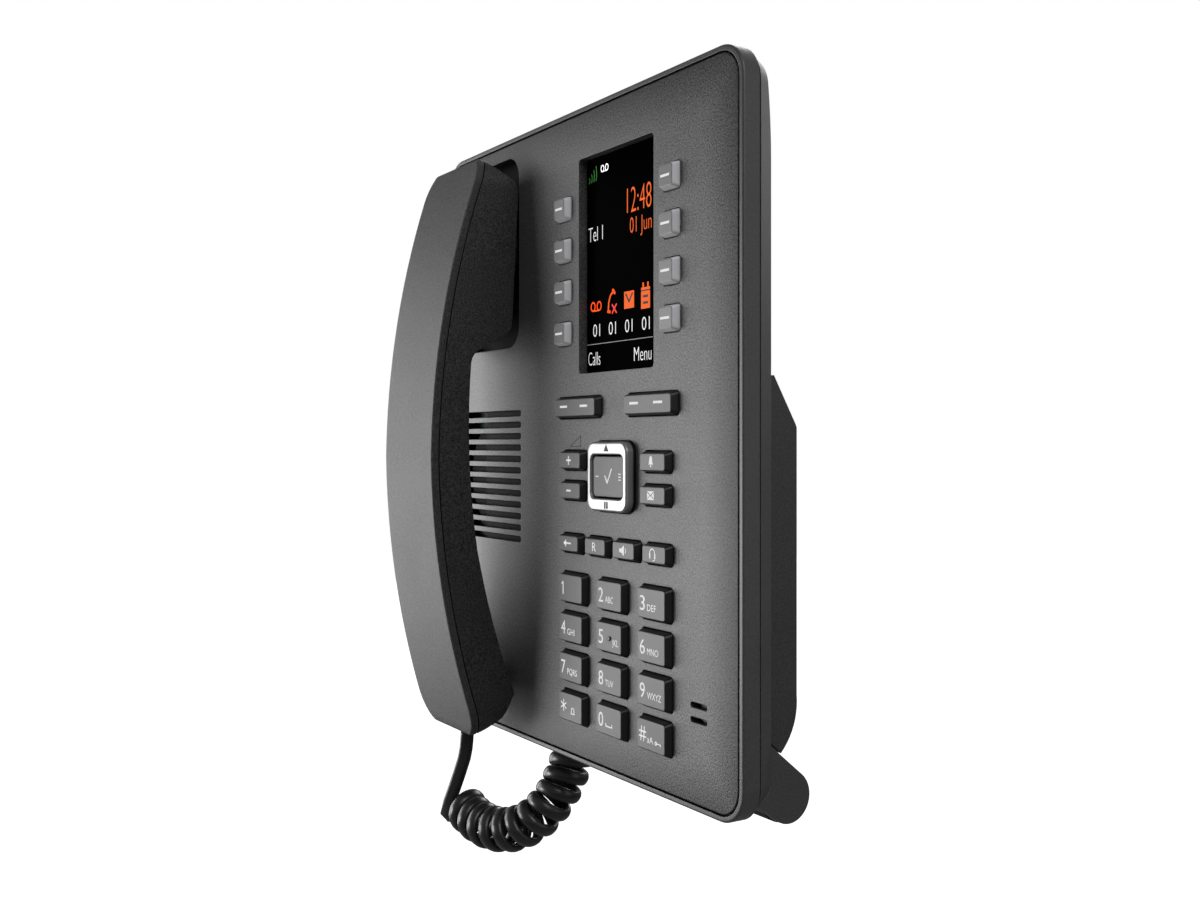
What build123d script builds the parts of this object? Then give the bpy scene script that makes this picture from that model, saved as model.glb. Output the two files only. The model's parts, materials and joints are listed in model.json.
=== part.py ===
from build123d import *
import os
from math import cos, radians, sin

# Desk phone, upright against its wall face. +Z up, the front faces -Y, the back faces +Y.
# The origin is the middle of the flat wall face on the back of the rear hump. All sizes in mm.
#
# Most heights below are given from the front panel's face: positive towards the user, negative
# into the case. Up and across positions are given from the middle of that face.

# The case
PANEL_WIDTH = 186.0
PANEL_HEIGHT = 215.7
CORNER_RADIUS = 10.5
WALL_GAP = 27.0  # wall face to front panel face
FACE_CENTRE_Z = 37.0  # middle of the panel above the middle of the wall face
RIM = 1.7  # bezel rim seen round the panel
GROOVE = 0.5  # gap between the rim and the panel
PANEL_BACK = -2.4
BEZEL_BACK = -5.7
SHELL_FRONT = -6.9
SHELL_BACK = -13.0
SHELL_WALL = 2.0
SHELL_FRONT_INSET = 1.0
SHELL_BACK_INSET = 4.0
HUMP_BACK = -WALL_GAP
HUMP_HALF_WIDTH = 42.0
HUMP_TOP = -13.0
HUMP_BOTTOM = -60.0

# The keypad
KEYPAD_X = 28.6
KEY_TOP = 2.4
KEY_FLARE = 0.7  # how far the key's foot stands out past its top face, each side
KEY_GAP = 0.3
KEY_LIP = 0.6
KEY_LIP_FRONT = -2.5
KEY_BACK = -4.0
KEY_CORNER = 0.9
DIGIT_KEY = (14.3, 8.9)
DIGIT_PITCH = (23.5, 13.1)
DIGIT_CENTRE_Y = -70.15
FUNCTION_KEY = (12.0, 5.0)
FUNCTION_PITCH = 16.6
FUNCTION_Y = -35.7
SIDE_KEY = (13.0, 5.1)
SIDE_KEY_OFFSET = 24.1
SIDE_KEY_ROWS = (-8.2, -18.2)
SOFT_KEY = (25.2, 5.6)
SOFT_KEY_OFFSET = 21.1
SOFT_KEY_Y = 9.2
LINE_KEY = (6.8, 6.5)
LINE_KEY_OFFSET = 30.95
LINE_KEY_PITCH = 13.9
LINE_KEY_CENTRE_Y = 54.9

# The display
DISPLAY_CENTRE = (28.4, 55.5)
DISPLAY_OPENING = (43.4, 70.5)
LENS_FRONT = -3.2
LENS_BACK = -4.4
MODULE_BACK = -6.1

# The navigation ring, its pivot frame and its centre key
NAV_CENTRE = (KEYPAD_X, -13.1)
NAV_SIZE = (23.0, 22.0)
NAV_OPENING = (18.9, 13.9)
NAV_TOP = 3.3
NAV_BACK = -4.2
NAV_CORNER = 3.6
NAV_FLANGE = 0.8
NAV_BEVEL = 0.35
OK_KEY = (18.0, 13.0)
OK_TOP = 2.5
PIVOT_DEPTH = -5.2
PIVOT_PIN = 0.5
PIVOT_CLEARANCE = 0.05
PIVOT_FRAME = (20.0, 18.6)
NAV_EAR = (1.2, 2.4)
EAR_OFFSET = PIVOT_FRAME[0] / 2 + 0.9

# The handset, its cradle and the hook plunger
HANDSET_X = -57.5
HANDSET_WIDTH = 43.0
HANDSET_TOP = 101.0
HANDSET_BOTTOM = -107.9
HANDSET_CORNER = 12.0
HANDSET_WAIST = 1.2
HANDSET_WALL = 2.2
HANDSET_RIM = 2.7  # side band of the outer shell
HANDSET_GROOVE = 0.5
EARPIECE_Y = 68.0
EARPIECE_RADIUS = 17.0
MOUTHPIECE_Y = -78.0
CRADLE_FLOOR = -4.5
CRADLE_TOP = 100.7
CRADLE_BOTTOM = 32.0
CRADLE_WIDTH = 45.2
HOOK_Y = 46.0
HOOK_TOP = 1.2
HOOK_TRAVEL = 3.0

# The speaker grille and the microphone slots
GRILLE_SLOTS = 12
GRILLE_PITCH = 4.1
GRILLE_SLOT = 2.3
GRILLE_TOP_Y = 8.25
GRILLE_LEFT = -81.6
GRILLE_RIGHT = -33.4
GRILLE_OPEN_RIGHT = -62.8
GRILLE_DEPTH = 1.3
SPEAKER_CENTRE = (-57.5, -14.3)
SPEAKER_RADIUS = 20.0
MIC_X = 72.8
MIC_SLOT = (8.0, 1.7)
MIC_ROWS = (-77.45, -81.65)

# The main board
BOARD_FRONT = -6.2
BOARD_BACK = -7.8
MAT_FRONT = -4.9

# The desk stand and the feet
STAND_AXIS = (-17.8, 12.2)  # out from the face, up from its middle
STAND_BARREL = 4.5
STAND_FRONT = -13.6
STAND_BACK = -26.8
STAND_HALF_WIDTH = 84.5
STAND_LEG_INNER = 45.5
STAND_CROSS_BOTTOM = -10.0
STAND_WALL = 2.4
STAND_PAD = (5.4, 30.0)
STAND_PAD_DEPTH = 1.2
LUG_X = 60.0
LUG_THICKNESS = 5.0
LUG_RADIUS = 2.6
HINGE_PIN = 1.2
HINGE_CLEARANCE = 0.05
HINGE_PIN_LENGTH = 20.0
FOOT_INNER = 45.0
FOOT_OUTER = 89.0
FOOT_END = (-19.6, -102.3)
FOOT_RADIUS = 7.5
FOOT_ANGLE = 219.5  # direction of the tongue, from straight out of the face towards up
FOOT_PAD = 1.0

# Connectors in the hump's bottom wall
JACK_FRONT = -13.4
JACK_BACK = -24.8
JACK_MIDDLE = (JACK_FRONT + JACK_BACK) / 2
JACK_DEPTH = 14.0
NETWORK_JACK_X = (-9.0, 9.0)
NETWORK_JACK_WIDTH = 15.6
NETWORK_PLUG = (11.9, 6.9)
HANDSET_JACK_X = -28.0
HANDSET_JACK_WIDTH = 11.0
HANDSET_PLUG = (7.8, 6.7)
PLUG_CLEARANCE = 0.06
POWER_JACK_X = 28.0
POWER_JACK_WIDTH = 10.0
POWER_HOLE = 2.8
POWER_PIN = 1.0
KEYHOLE_X = 30.0
KEYHOLE_Y = -29.0
KEYHOLE_HEAD = 4.2
KEYHOLE_SLOT = 2.2
KEYHOLE_LENGTH = 6.0

# Case screws
SCREW_X = 84.0
SCREW_ROWS = (-92.0, 84.0)
SCREW_SHAFT = 1.45
SCREW_HEAD = 2.75
SCREW_HEAD_HEIGHT = 2.0
SCREW_HEAD_FRONT = -10.6
SCREW_TIP = -3.8
FRONT_BOSS_END = -8.0
REAR_BOSS_FRONT = -8.1

# Handset cord
CORD_RADIUS = 1.8
COIL_RADIUS = 8.0

FIT = 0.1  # gap left between parts that only sit against each other


def face_plane(height):
    """The plane parallel to the front panel at a height above it; x across, y up."""
    return Plane(origin=(0, -WALL_GAP - height, FACE_CENTRE_Z), x_dir=(1, 0, 0), z_dir=(0, -1, 0))


def side_plane(across):
    """The upright plane across the phone at a place along its width; x out of the face, y up."""
    return Plane(origin=(across, -WALL_GAP, FACE_CENTRE_Z), x_dir=(0, -1, 0), z_dir=(-1, 0, 0))


def level_plane(up):
    """The level plane at a height up the face; x across, y out of the face."""
    return Plane(origin=(0, -WALL_GAP, FACE_CENTRE_Z + up), x_dir=(1, 0, 0), z_dir=(0, 0, -1))


def save(part, name):
    part.label = name
    export_step(part, f"parts/{name}.step")


def block(low, high, centre, size, corner=0.0):
    """A straight block between two heights, with a rounded outline if it has a corner radius."""
    with BuildPart() as made:
        with BuildSketch(face_plane(low)):
            with Locations(centre):
                if corner:
                    RectangleRounded(size[0], size[1], corner)
                else:
                    Rectangle(size[0], size[1])
        extrude(amount=high - low)
    return made.part


def drum(low, high, centre, radius):
    """A round block between two heights."""
    with BuildPart() as made:
        with BuildSketch(face_plane(low)):
            with Locations(centre):
                Circle(radius)
        extrude(amount=high - low)
    return made.part


def grown(size, by):
    """A size made larger by the same amount on every side."""
    return (size[0] + 2 * by, size[1] + 2 * by)


def key_rows():
    """Every key as (name, centre, top face size)."""
    keys = []
    digits = ("1", "2", "3", "4", "5", "6", "7", "8", "9", "star", "0", "hash")
    for i, digit in enumerate(digits):
        x = KEYPAD_X + (i % 3 - 1) * DIGIT_PITCH[0]
        y = DIGIT_CENTRE_Y + (1.5 - i // 3) * DIGIT_PITCH[1]
        keys.append((f"key_{digit}", (x, y), DIGIT_KEY))
    for i, use in enumerate(("back", "recall", "speaker", "headset")):
        x = KEYPAD_X + (i - 1.5) * FUNCTION_PITCH
        keys.append((f"key_{use}", (x, FUNCTION_Y), FUNCTION_KEY))
    sides = (("volume_up", -1, 0), ("volume_down", -1, 1), ("ringer", 1, 0), ("messages", 1, 1))
    for use, side, row in sides:
        x = KEYPAD_X + side * SIDE_KEY_OFFSET
        keys.append((f"key_{use}", (x, SIDE_KEY_ROWS[row]), SIDE_KEY))
    for name, side in (("left", -1), ("right", 1)):
        x = KEYPAD_X + side * SOFT_KEY_OFFSET
        keys.append((f"soft_key_{name}", (x, SOFT_KEY_Y), SOFT_KEY))
        for row in range(4):
            x = KEYPAD_X + side * LINE_KEY_OFFSET
            y = LINE_KEY_CENTRE_Y + (1.5 - row) * LINE_KEY_PITCH
            keys.append((f"line_key_{name}_{row + 1}", (x, y), LINE_KEY))
    return keys


KEYS = key_rows()
SCREW_PLACES = [(side * SCREW_X, y) for side in (-1, 1) for y in SCREW_ROWS]
CRADLE_CENTRE = (HANDSET_X, (CRADLE_TOP + CRADLE_BOTTOM) / 2)
CRADLE_SIZE = (CRADLE_WIDTH, CRADLE_TOP - CRADLE_BOTTOM)
HOOK_CENTRE = (HANDSET_X, HOOK_Y)
HOOK_SIZE = (8.0, 4.4)
BOARD_SIZE = (160.0, 200.0)

os.makedirs("parts", exist_ok=True)

# ---------------------------------------------------------------- bezel frame
with BuildPart() as bezel_frame:
    with BuildSketch(face_plane(0)):
        RectangleRounded(PANEL_WIDTH, PANEL_HEIGHT, CORNER_RADIUS)
    extrude(amount=BEZEL_BACK)
    fillet(bezel_frame.faces().sort_by(Axis.Y)[0].edges(), 0.7)
    # the seat that the front panel drops into
    with BuildSketch(face_plane(0)):
        RectangleRounded(PANEL_WIDTH - 2 * RIM, PANEL_HEIGHT - 2 * RIM, CORNER_RADIUS - RIM)
    extrude(amount=PANEL_BACK, mode=Mode.SUBTRACT)
    # the opening inside the ledge
    with BuildSketch(face_plane(0)):
        RectangleRounded(PANEL_WIDTH - 11, PANEL_HEIGHT - 11, CORNER_RADIUS - 5.5)
    extrude(amount=BEZEL_BACK, mode=Mode.SUBTRACT)
    # the wall below the ledge is as thin as the rim
    with BuildSketch(face_plane(PANEL_BACK - 1.4)):
        RectangleRounded(PANEL_WIDTH - 2 * RIM, PANEL_HEIGHT - 2 * RIM, CORNER_RADIUS - RIM)
    extrude(amount=BEZEL_BACK, mode=Mode.SUBTRACT)
save(bezel_frame.part, "bezel_frame")

# ---------------------------------------------------------------- front panel
PANEL_INSET = RIM + GROOVE
with BuildPart() as front_panel:
    with BuildSketch(face_plane(0)):
        RectangleRounded(
            PANEL_WIDTH - 2 * PANEL_INSET, PANEL_HEIGHT - 2 * PANEL_INSET, CORNER_RADIUS - PANEL_INSET
        )
    extrude(amount=PANEL_BACK)
    fillet(front_panel.faces().sort_by(Axis.Y)[0].edges(), 0.4)
    # walls round the display opening and under the cradle
    add(block(LENS_FRONT, PANEL_BACK, DISPLAY_CENTRE, grown(DISPLAY_OPENING, 1.9), 3.0))
    add(block(CRADLE_FLOOR - 1.6, PANEL_BACK, CRADLE_CENTRE, grown(CRADLE_SIZE, 1.6), 9.6))
    # screw bosses
    with BuildSketch(face_plane(PANEL_BACK)):
        with Locations(*SCREW_PLACES):
            Circle(3.0)
    extrude(amount=FRONT_BOSS_END - PANEL_BACK)
    with BuildSketch(face_plane(SCREW_TIP + 0.2)):
        with Locations(*SCREW_PLACES):
            Circle(SCREW_SHAFT + FIT)
    extrude(amount=-5, mode=Mode.SUBTRACT)
    # posts that hold the navigation pivot frame's pins
    post_y = NAV_SIZE[1] / 2 + 2.4
    for side in (-1, 1):
        add(block(PIVOT_DEPTH - 1.0, PANEL_BACK, (NAV_CENTRE[0], NAV_CENTRE[1] + side * post_y), (4.0, 2.0)))
    with BuildSketch(level_plane(NAV_CENTRE[1])):
        with Locations((NAV_CENTRE[0], PIVOT_DEPTH)):
            Circle(PIVOT_PIN + PIVOT_CLEARANCE)
    extrude(amount=post_y + 2, both=True, mode=Mode.SUBTRACT)
    # the display opening and the cradle recess
    with BuildSketch(face_plane(0)):
        with Locations(DISPLAY_CENTRE):
            RectangleRounded(*DISPLAY_OPENING, 1.4)
    extrude(amount=-5, mode=Mode.SUBTRACT)
    with BuildSketch(face_plane(0)):
        with Locations(CRADLE_CENTRE):
            RectangleRounded(*CRADLE_SIZE, 8.0)
    extrude(amount=CRADLE_FLOOR, mode=Mode.SUBTRACT)
    with BuildSketch(face_plane(CRADLE_FLOOR + 1)):
        with Locations(HOOK_CENTRE):
            RectangleRounded(*grown(HOOK_SIZE, KEY_GAP), 1.0)
    extrude(amount=-4, mode=Mode.SUBTRACT)
    # key holes and the navigation ring's hole
    with BuildSketch(face_plane(0)):
        for name, centre, size in KEYS:
            with Locations(centre):
                RectangleRounded(*grown(size, KEY_FLARE + KEY_GAP), KEY_CORNER + KEY_GAP)
        with Locations(NAV_CENTRE):
            RectangleRounded(*grown(NAV_SIZE, 0.45), NAV_CORNER + 0.3)
    extrude(amount=PANEL_BACK, mode=Mode.SUBTRACT)
    # grille slots: shallow all along, open into the speaker at the left
    slot_rows = [GRILLE_TOP_Y - i * GRILLE_PITCH for i in range(GRILLE_SLOTS)]
    with BuildSketch(face_plane(0)):
        for y in slot_rows:
            with Locations(((GRILLE_LEFT + GRILLE_RIGHT) / 2, y)):
                RectangleRounded(GRILLE_RIGHT - GRILLE_LEFT, GRILLE_SLOT, 0.8)
    extrude(amount=-GRILLE_DEPTH, mode=Mode.SUBTRACT)
    with BuildSketch(face_plane(0)):
        for y in slot_rows:
            with Locations(((GRILLE_LEFT + GRILLE_OPEN_RIGHT) / 2, y)):
                RectangleRounded(GRILLE_OPEN_RIGHT - GRILLE_LEFT, GRILLE_SLOT, 0.8)
    extrude(amount=PANEL_BACK, mode=Mode.SUBTRACT)
    with BuildSketch(face_plane(0)):
        for y in MIC_ROWS:
            with Locations((MIC_X, y)):
                RectangleRounded(*MIC_SLOT, 0.8)
    extrude(amount=PANEL_BACK, mode=Mode.SUBTRACT)
save(front_panel.part, "front_panel")


# ---------------------------------------------------------------- rear shell
def shell_block(inset, front, back):
    """The rear shell's outer form, or its inside when inset by the wall, between two depths."""
    slope = (SHELL_BACK_INSET - SHELL_FRONT_INSET) / (SHELL_FRONT - SHELL_BACK)

    def outline(depth):
        shrink = inset + SHELL_FRONT_INSET + slope * (SHELL_FRONT - depth)
        with BuildSketch(face_plane(depth)) as sketch:
            RectangleRounded(
                PANEL_WIDTH - 2 * shrink, PANEL_HEIGHT - 2 * shrink, CORNER_RADIUS - shrink
            )
        return sketch.sketch

    with BuildPart() as made:
        loft([outline(front).face(), outline(back).face()])
        # the back curves forward towards the top edge
        with BuildSketch(side_plane(0)):
            with BuildLine():
                arc = ThreePointArc((back, 74), (back + 1.1, 93), (back + 4.2, 109))
                Polyline(arc @ 1, (back - 5, 109), (back - 5, 74), arc @ 0)
            make_face()
        extrude(amount=PANEL_WIDTH, both=True, mode=Mode.SUBTRACT)
    return made.part


hump_centre = (0, (HUMP_TOP + HUMP_BOTTOM) / 2)
hump_size = (2 * HUMP_HALF_WIDTH, HUMP_TOP - HUMP_BOTTOM)
jack_openings = [(x, NETWORK_JACK_WIDTH - 1) for x in NETWORK_JACK_X]
jack_openings += [(HANDSET_JACK_X, HANDSET_JACK_WIDTH - 1), (POWER_JACK_X, POWER_JACK_WIDTH - 1)]
SHELL_ENVELOPE = shell_block(0, SHELL_FRONT, SHELL_BACK)
with BuildPart() as rear_shell:
    add(SHELL_ENVELOPE)
    add(block(HUMP_BACK, SHELL_BACK + 1, hump_centre, hump_size, 4.0))
    hump_rim = rear_shell.faces().sort_by(Axis.Y)[-1].edges()
    fillet(hump_rim, 1.2)
    add(shell_block(SHELL_WALL, SHELL_FRONT, SHELL_BACK + SHELL_WALL), mode=Mode.SUBTRACT)
    add(
        block(HUMP_BACK + SHELL_WALL, SHELL_BACK + 3, hump_centre, grown(hump_size, -SHELL_WALL), 2.0),
        mode=Mode.SUBTRACT,
    )
    # the lip that locates in the bezel frame
    with BuildSketch(face_plane(SHELL_FRONT - 1)):
        RectangleRounded(PANEL_WIDTH - 5, PANEL_HEIGHT - 5, CORNER_RADIUS - 2.5)
        RectangleRounded(PANEL_WIDTH - 8, PANEL_HEIGHT - 8, CORNER_RADIUS - 4, mode=Mode.SUBTRACT)
    extrude(amount=1 + PANEL_BACK - 1.6 - SHELL_FRONT)
    # screw bosses with their heads sunk from behind
    with BuildSketch(face_plane(REAR_BOSS_FRONT)):
        with Locations(*SCREW_PLACES):
            Circle(3.9)
    extrude(amount=SHELL_BACK + 1 - REAR_BOSS_FRONT)
    with BuildSketch(face_plane(0)):
        with Locations(*SCREW_PLACES):
            Circle(SCREW_SHAFT + FIT)
    extrude(amount=-20, mode=Mode.SUBTRACT)
    with BuildSketch(face_plane(SCREW_HEAD_FRONT)):
        with Locations(*SCREW_PLACES):
            Circle(SCREW_HEAD + 0.2)
    extrude(amount=-6, mode=Mode.SUBTRACT)
    # hinge lugs for the stand
    for side in (-1, 1):
        with BuildSketch(side_plane(side * LUG_X)):
            with Locations(STAND_AXIS):
                Circle(LUG_RADIUS)
            with Locations(((STAND_AXIS[0] + SHELL_BACK + 1) / 2, STAND_AXIS[1])):
                Rectangle(SHELL_BACK + 1 - STAND_AXIS[0], 2 * LUG_RADIUS)
            with Locations(STAND_AXIS):
                Circle(HINGE_PIN, mode=Mode.SUBTRACT)
        extrude(amount=LUG_THICKNESS / 2, both=True)
    # connector openings in the hump's bottom wall
    for x, width in jack_openings:
        with BuildSketch(level_plane(HUMP_BOTTOM)):
            with Locations((x, JACK_MIDDLE)):
                RectangleRounded(width, JACK_FRONT - JACK_BACK - 1, 1.0)
        extrude(amount=3.0, both=True, mode=Mode.SUBTRACT)
    # keyholes for the wall screws
    for side in (-1, 1):
        with BuildSketch(face_plane(HUMP_BACK)):
            with Locations((side * KEYHOLE_X, KEYHOLE_Y)):
                Circle(KEYHOLE_HEAD)
            with Locations((side * KEYHOLE_X, KEYHOLE_Y + KEYHOLE_LENGTH / 2)):
                SlotCenterToCenter(KEYHOLE_LENGTH, 2 * KEYHOLE_SLOT, rotation=90)
        extrude(amount=SHELL_WALL, mode=Mode.SUBTRACT)
save(rear_shell.part, "rear_shell")

# ---------------------------------------------------------------- case screws
with BuildPart() as case_screws:
    with BuildSketch(face_plane(SCREW_HEAD_FRONT)):
        with Locations(*SCREW_PLACES):
            Circle(SCREW_SHAFT)
    extrude(amount=SCREW_TIP - SCREW_HEAD_FRONT)
    with BuildSketch(face_plane(SCREW_HEAD_FRONT)):
        with Locations(*SCREW_PLACES):
            Circle(SCREW_HEAD)
    extrude(amount=-SCREW_HEAD_HEIGHT)
    with BuildSketch(face_plane(SCREW_HEAD_FRONT - SCREW_HEAD_HEIGHT)):
        with Locations(*SCREW_PLACES):
            Rectangle(3.2, 0.7)
            Rectangle(0.7, 3.2)
    extrude(amount=1.2, mode=Mode.SUBTRACT)
save(case_screws.part, "case_screws")


# ---------------------------------------------------------------- feet and their pads
def along_foot(distance, aside):
    """A point of the foot's profile, measured along its tongue and across it from the end centre."""
    angle = radians(FOOT_ANGLE)
    return (
        FOOT_END[0] + distance * cos(angle) - aside * sin(angle),
        FOOT_END[1] + distance * sin(angle) + aside * cos(angle),
    )


def pad_profile(outer, inner):
    """The arc of the foot's round end that meets the desk."""
    with BuildSketch() as sketch:
        with Locations(FOOT_END):
            Circle(outer)
            Circle(inner, mode=Mode.SUBTRACT)
        with BuildLine():
            Polyline(
                FOOT_END, along_foot(14, -4), along_foot(14, 14), along_foot(-3, 14), FOOT_END
            )
        make_face(mode=Mode.INTERSECT)
    return sketch.sketch


FOOT_LENGTH = FOOT_OUTER - FOOT_INNER
FOOT_X = (-(FOOT_OUTER + FOOT_INNER) / 2, (FOOT_OUTER + FOOT_INNER) / 2)
with BuildPart() as feet:
    for x in FOOT_X:
        with BuildSketch(side_plane(x)):
            with Locations(FOOT_END):
                Circle(FOOT_RADIUS)
            with BuildLine():
                Polyline(
                    along_foot(0, FOOT_RADIUS),
                    along_foot(-16, FOOT_RADIUS),
                    along_foot(-16, -FOOT_RADIUS),
                    along_foot(0, -FOOT_RADIUS),
                    along_foot(0, FOOT_RADIUS),
                )
            make_face()
        extrude(amount=FOOT_LENGTH / 2, both=True)
        with BuildSketch(side_plane(x)):
            add(pad_profile(FOOT_RADIUS + 1, FOOT_RADIUS - FOOT_PAD))
        extrude(amount=FOOT_LENGTH / 2 - 3, both=True, mode=Mode.SUBTRACT)
    add(SHELL_ENVELOPE, mode=Mode.SUBTRACT)
    with BuildSketch(face_plane(SHELL_FRONT - 1)):
        Rectangle(PANEL_WIDTH, 2 * PANEL_HEIGHT)
    extrude(amount=20, mode=Mode.SUBTRACT)
save(feet.part, "feet")

with BuildPart() as foot_pads:
    for x in FOOT_X:
        with BuildSketch(side_plane(x)):
            add(pad_profile(FOOT_RADIUS + 0.3, FOOT_RADIUS - FOOT_PAD))
        extrude(amount=FOOT_LENGTH / 2 - 3.1, both=True)
save(foot_pads.part, "foot_pads")

# ---------------------------------------------------------------- desk stand
LEG_CENTRE_X = (STAND_LEG_INNER + STAND_HALF_WIDTH) / 2
LEG_WIDTH = STAND_HALF_WIDTH - STAND_LEG_INNER
LEG_TIP = (-20.9, -91.2)
LEG_HEEL = (STAND_FRONT, -85.2)


def leg_end_plane(across):
    """The sloping end of a leg, facing out; x runs along the slope towards the tip."""
    middle = side_plane(across).from_local_coords(
        ((LEG_TIP[0] + LEG_HEEL[0]) / 2, (LEG_TIP[1] + LEG_HEEL[1]) / 2, 0)
    )
    slope = (0, LEG_HEEL[0] - LEG_TIP[0], LEG_TIP[1] - LEG_HEEL[1])
    return Plane(origin=middle, x_dir=slope, z_dir=(0, slope[2], -slope[1]))


with BuildPart() as desk_stand:
    with BuildSketch(side_plane(0)):
        with BuildLine():
            back_line = Line((STAND_BACK, 1.2), (STAND_BACK, -75))
            end_curve = ThreePointArc(back_line @ 1, (-25.4, -84.5), LEG_TIP)
            # the hinge barrel is round towards the case and runs flush into the sloping back
            top = (STAND_AXIS[0], STAND_AXIS[1] + STAND_BARREL)
            front = (STAND_AXIS[0] + STAND_BARREL, STAND_AXIS[1])
            shoulder = STAND_BARREL * cos(radians(45))
            ThreePointArc(top, (STAND_AXIS[0] + shoulder, STAND_AXIS[1] + shoulder), front)
            Polyline(end_curve @ 1, LEG_HEEL, (STAND_FRONT, 8), front)
            Line(top, back_line @ 0)
        make_face()
    extrude(amount=STAND_HALF_WIDTH, both=True)
    # the gap between the legs
    with BuildSketch(face_plane(0)):
        with Locations((0, STAND_CROSS_BOTTOM - 50)):
            Rectangle(2 * STAND_LEG_INNER, 100)
    extrude(amount=-40, mode=Mode.SUBTRACT)
    outer_edges = desk_stand.edges().filter_by(GeomType.LINE).filter_by(Axis.Z)
    fillet(outer_edges.group_by(Axis.Y)[-1], 1.0)
    # pockets moulded into the legs from the front
    for side in (-1, 1):
        pocket_top = 3.0
        pocket_bottom = -81.0
        with BuildSketch(face_plane(STAND_FRONT + 1)):
            with Locations((side * LEG_CENTRE_X, (pocket_top + pocket_bottom) / 2)):
                RectangleRounded(LEG_WIDTH - 2 * STAND_WALL, pocket_top - pocket_bottom, 2.0)
        extrude(amount=-8.5, mode=Mode.SUBTRACT)
        # slots that clear the lugs, and the hinge holes
        with BuildSketch(face_plane(0)):
            with Locations((side * LUG_X, STAND_AXIS[1] + 2.5)):
                Rectangle(LUG_THICKNESS + 1, 15)
        extrude(amount=STAND_AXIS[0] - STAND_BARREL - 0.6, mode=Mode.SUBTRACT)
        with BuildSketch(side_plane(side * LUG_X)):
            with Locations(STAND_AXIS):
                Circle(HINGE_PIN + HINGE_CLEARANCE)
        extrude(amount=HINGE_PIN_LENGTH / 2 + 0.3, both=True, mode=Mode.SUBTRACT)
        # a recess in the end of each leg for its pad
        with BuildSketch(leg_end_plane(side * LEG_CENTRE_X)):
            Rectangle(STAND_PAD[0] + 0.2, STAND_PAD[1] + 0.2)
        extrude(amount=-STAND_PAD_DEPTH, mode=Mode.SUBTRACT)
save(desk_stand.part, "desk_stand")

with BuildPart() as stand_pads:
    for side in (-1, 1):
        with BuildSketch(leg_end_plane(side * LEG_CENTRE_X).offset(-STAND_PAD_DEPTH)):
            Rectangle(*STAND_PAD)
        extrude(amount=STAND_PAD_DEPTH + 0.5)
save(stand_pads.part, "stand_pads")

with BuildPart() as stand_hinge_pins:
    for side in (-1, 1):
        with BuildSketch(side_plane(side * LUG_X)):
            with Locations(STAND_AXIS):
                Circle(HINGE_PIN)
        extrude(amount=HINGE_PIN_LENGTH / 2, both=True)
save(stand_hinge_pins.part, "stand_hinge_pins")

# ---------------------------------------------------------------- display
with BuildPart() as display_lens:
    add(block(LENS_BACK, LENS_FRONT, DISPLAY_CENTRE, grown(DISPLAY_OPENING, 1.3), 1.2))
save(display_lens.part, "display_lens")

with BuildPart() as display_module:
    add(block(MODULE_BACK, LENS_BACK - FIT, DISPLAY_CENTRE, grown(DISPLAY_OPENING, 0.8)))
save(display_module.part, "display_module")


# ---------------------------------------------------------------- keys
def make_key(name, centre, size):
    """One key: a flared cap above the panel and a lip behind it that keeps the key in."""
    with BuildPart() as key:
        with BuildSketch(face_plane(0)) as foot:
            with Locations(centre):
                RectangleRounded(*grown(size, KEY_FLARE), KEY_CORNER)
        with BuildSketch(face_plane(KEY_TOP)) as top:
            with Locations(centre):
                RectangleRounded(*size, KEY_CORNER)
        loft()
        fillet(key.faces().sort_by(Axis.Y)[0].edges(), 0.35)
        add(block(KEY_LIP_FRONT, 0, centre, grown(size, KEY_FLARE), KEY_CORNER))
        add(block(KEY_BACK, KEY_LIP_FRONT, centre, grown(size, KEY_FLARE + KEY_GAP + KEY_LIP), KEY_CORNER))
        if name == "key_5":
            add(drum(KEY_TOP - 0.5, KEY_TOP + 0.4, (centre[0] + 0.6, centre[1] - 0.2), 0.7))
    save(key.part, name)


for name, centre, size in KEYS:
    make_key(name, centre, size)

# ---------------------------------------------------------------- navigation
with BuildPart() as nav_ring:
    with BuildSketch(face_plane(NAV_BACK)):
        with Locations(NAV_CENTRE):
            RectangleRounded(*NAV_SIZE, NAV_CORNER)
    extrude(amount=NAV_TOP - NAV_BACK)
    fillet(nav_ring.faces().sort_by(Axis.Y)[0].edges(), 0.9)
    add(block(NAV_BACK, NAV_BACK + NAV_FLANGE, NAV_CENTRE, grown(NAV_SIZE, 1.0), NAV_CORNER))
    # ears that carry the frame's side pins
    for side in (-1, 1):
        add(block(PIVOT_DEPTH - 0.75, NAV_BACK, (NAV_CENTRE[0] + side * EAR_OFFSET, NAV_CENTRE[1]), NAV_EAR))
    with BuildSketch(side_plane(NAV_CENTRE[0])):
        with Locations((PIVOT_DEPTH, NAV_CENTRE[1])):
            Circle(PIVOT_PIN + PIVOT_CLEARANCE)
    extrude(amount=NAV_SIZE[0], both=True, mode=Mode.SUBTRACT)
    add(block(NAV_BACK - 3, NAV_TOP + 1, NAV_CENTRE, NAV_OPENING, 2.0), mode=Mode.SUBTRACT)
    chamfer(nav_ring.faces().sort_by(Axis.Y)[0].inner_wires()[0].edges(), NAV_BEVEL)
save(nav_ring.part, "nav_ring")

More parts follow.
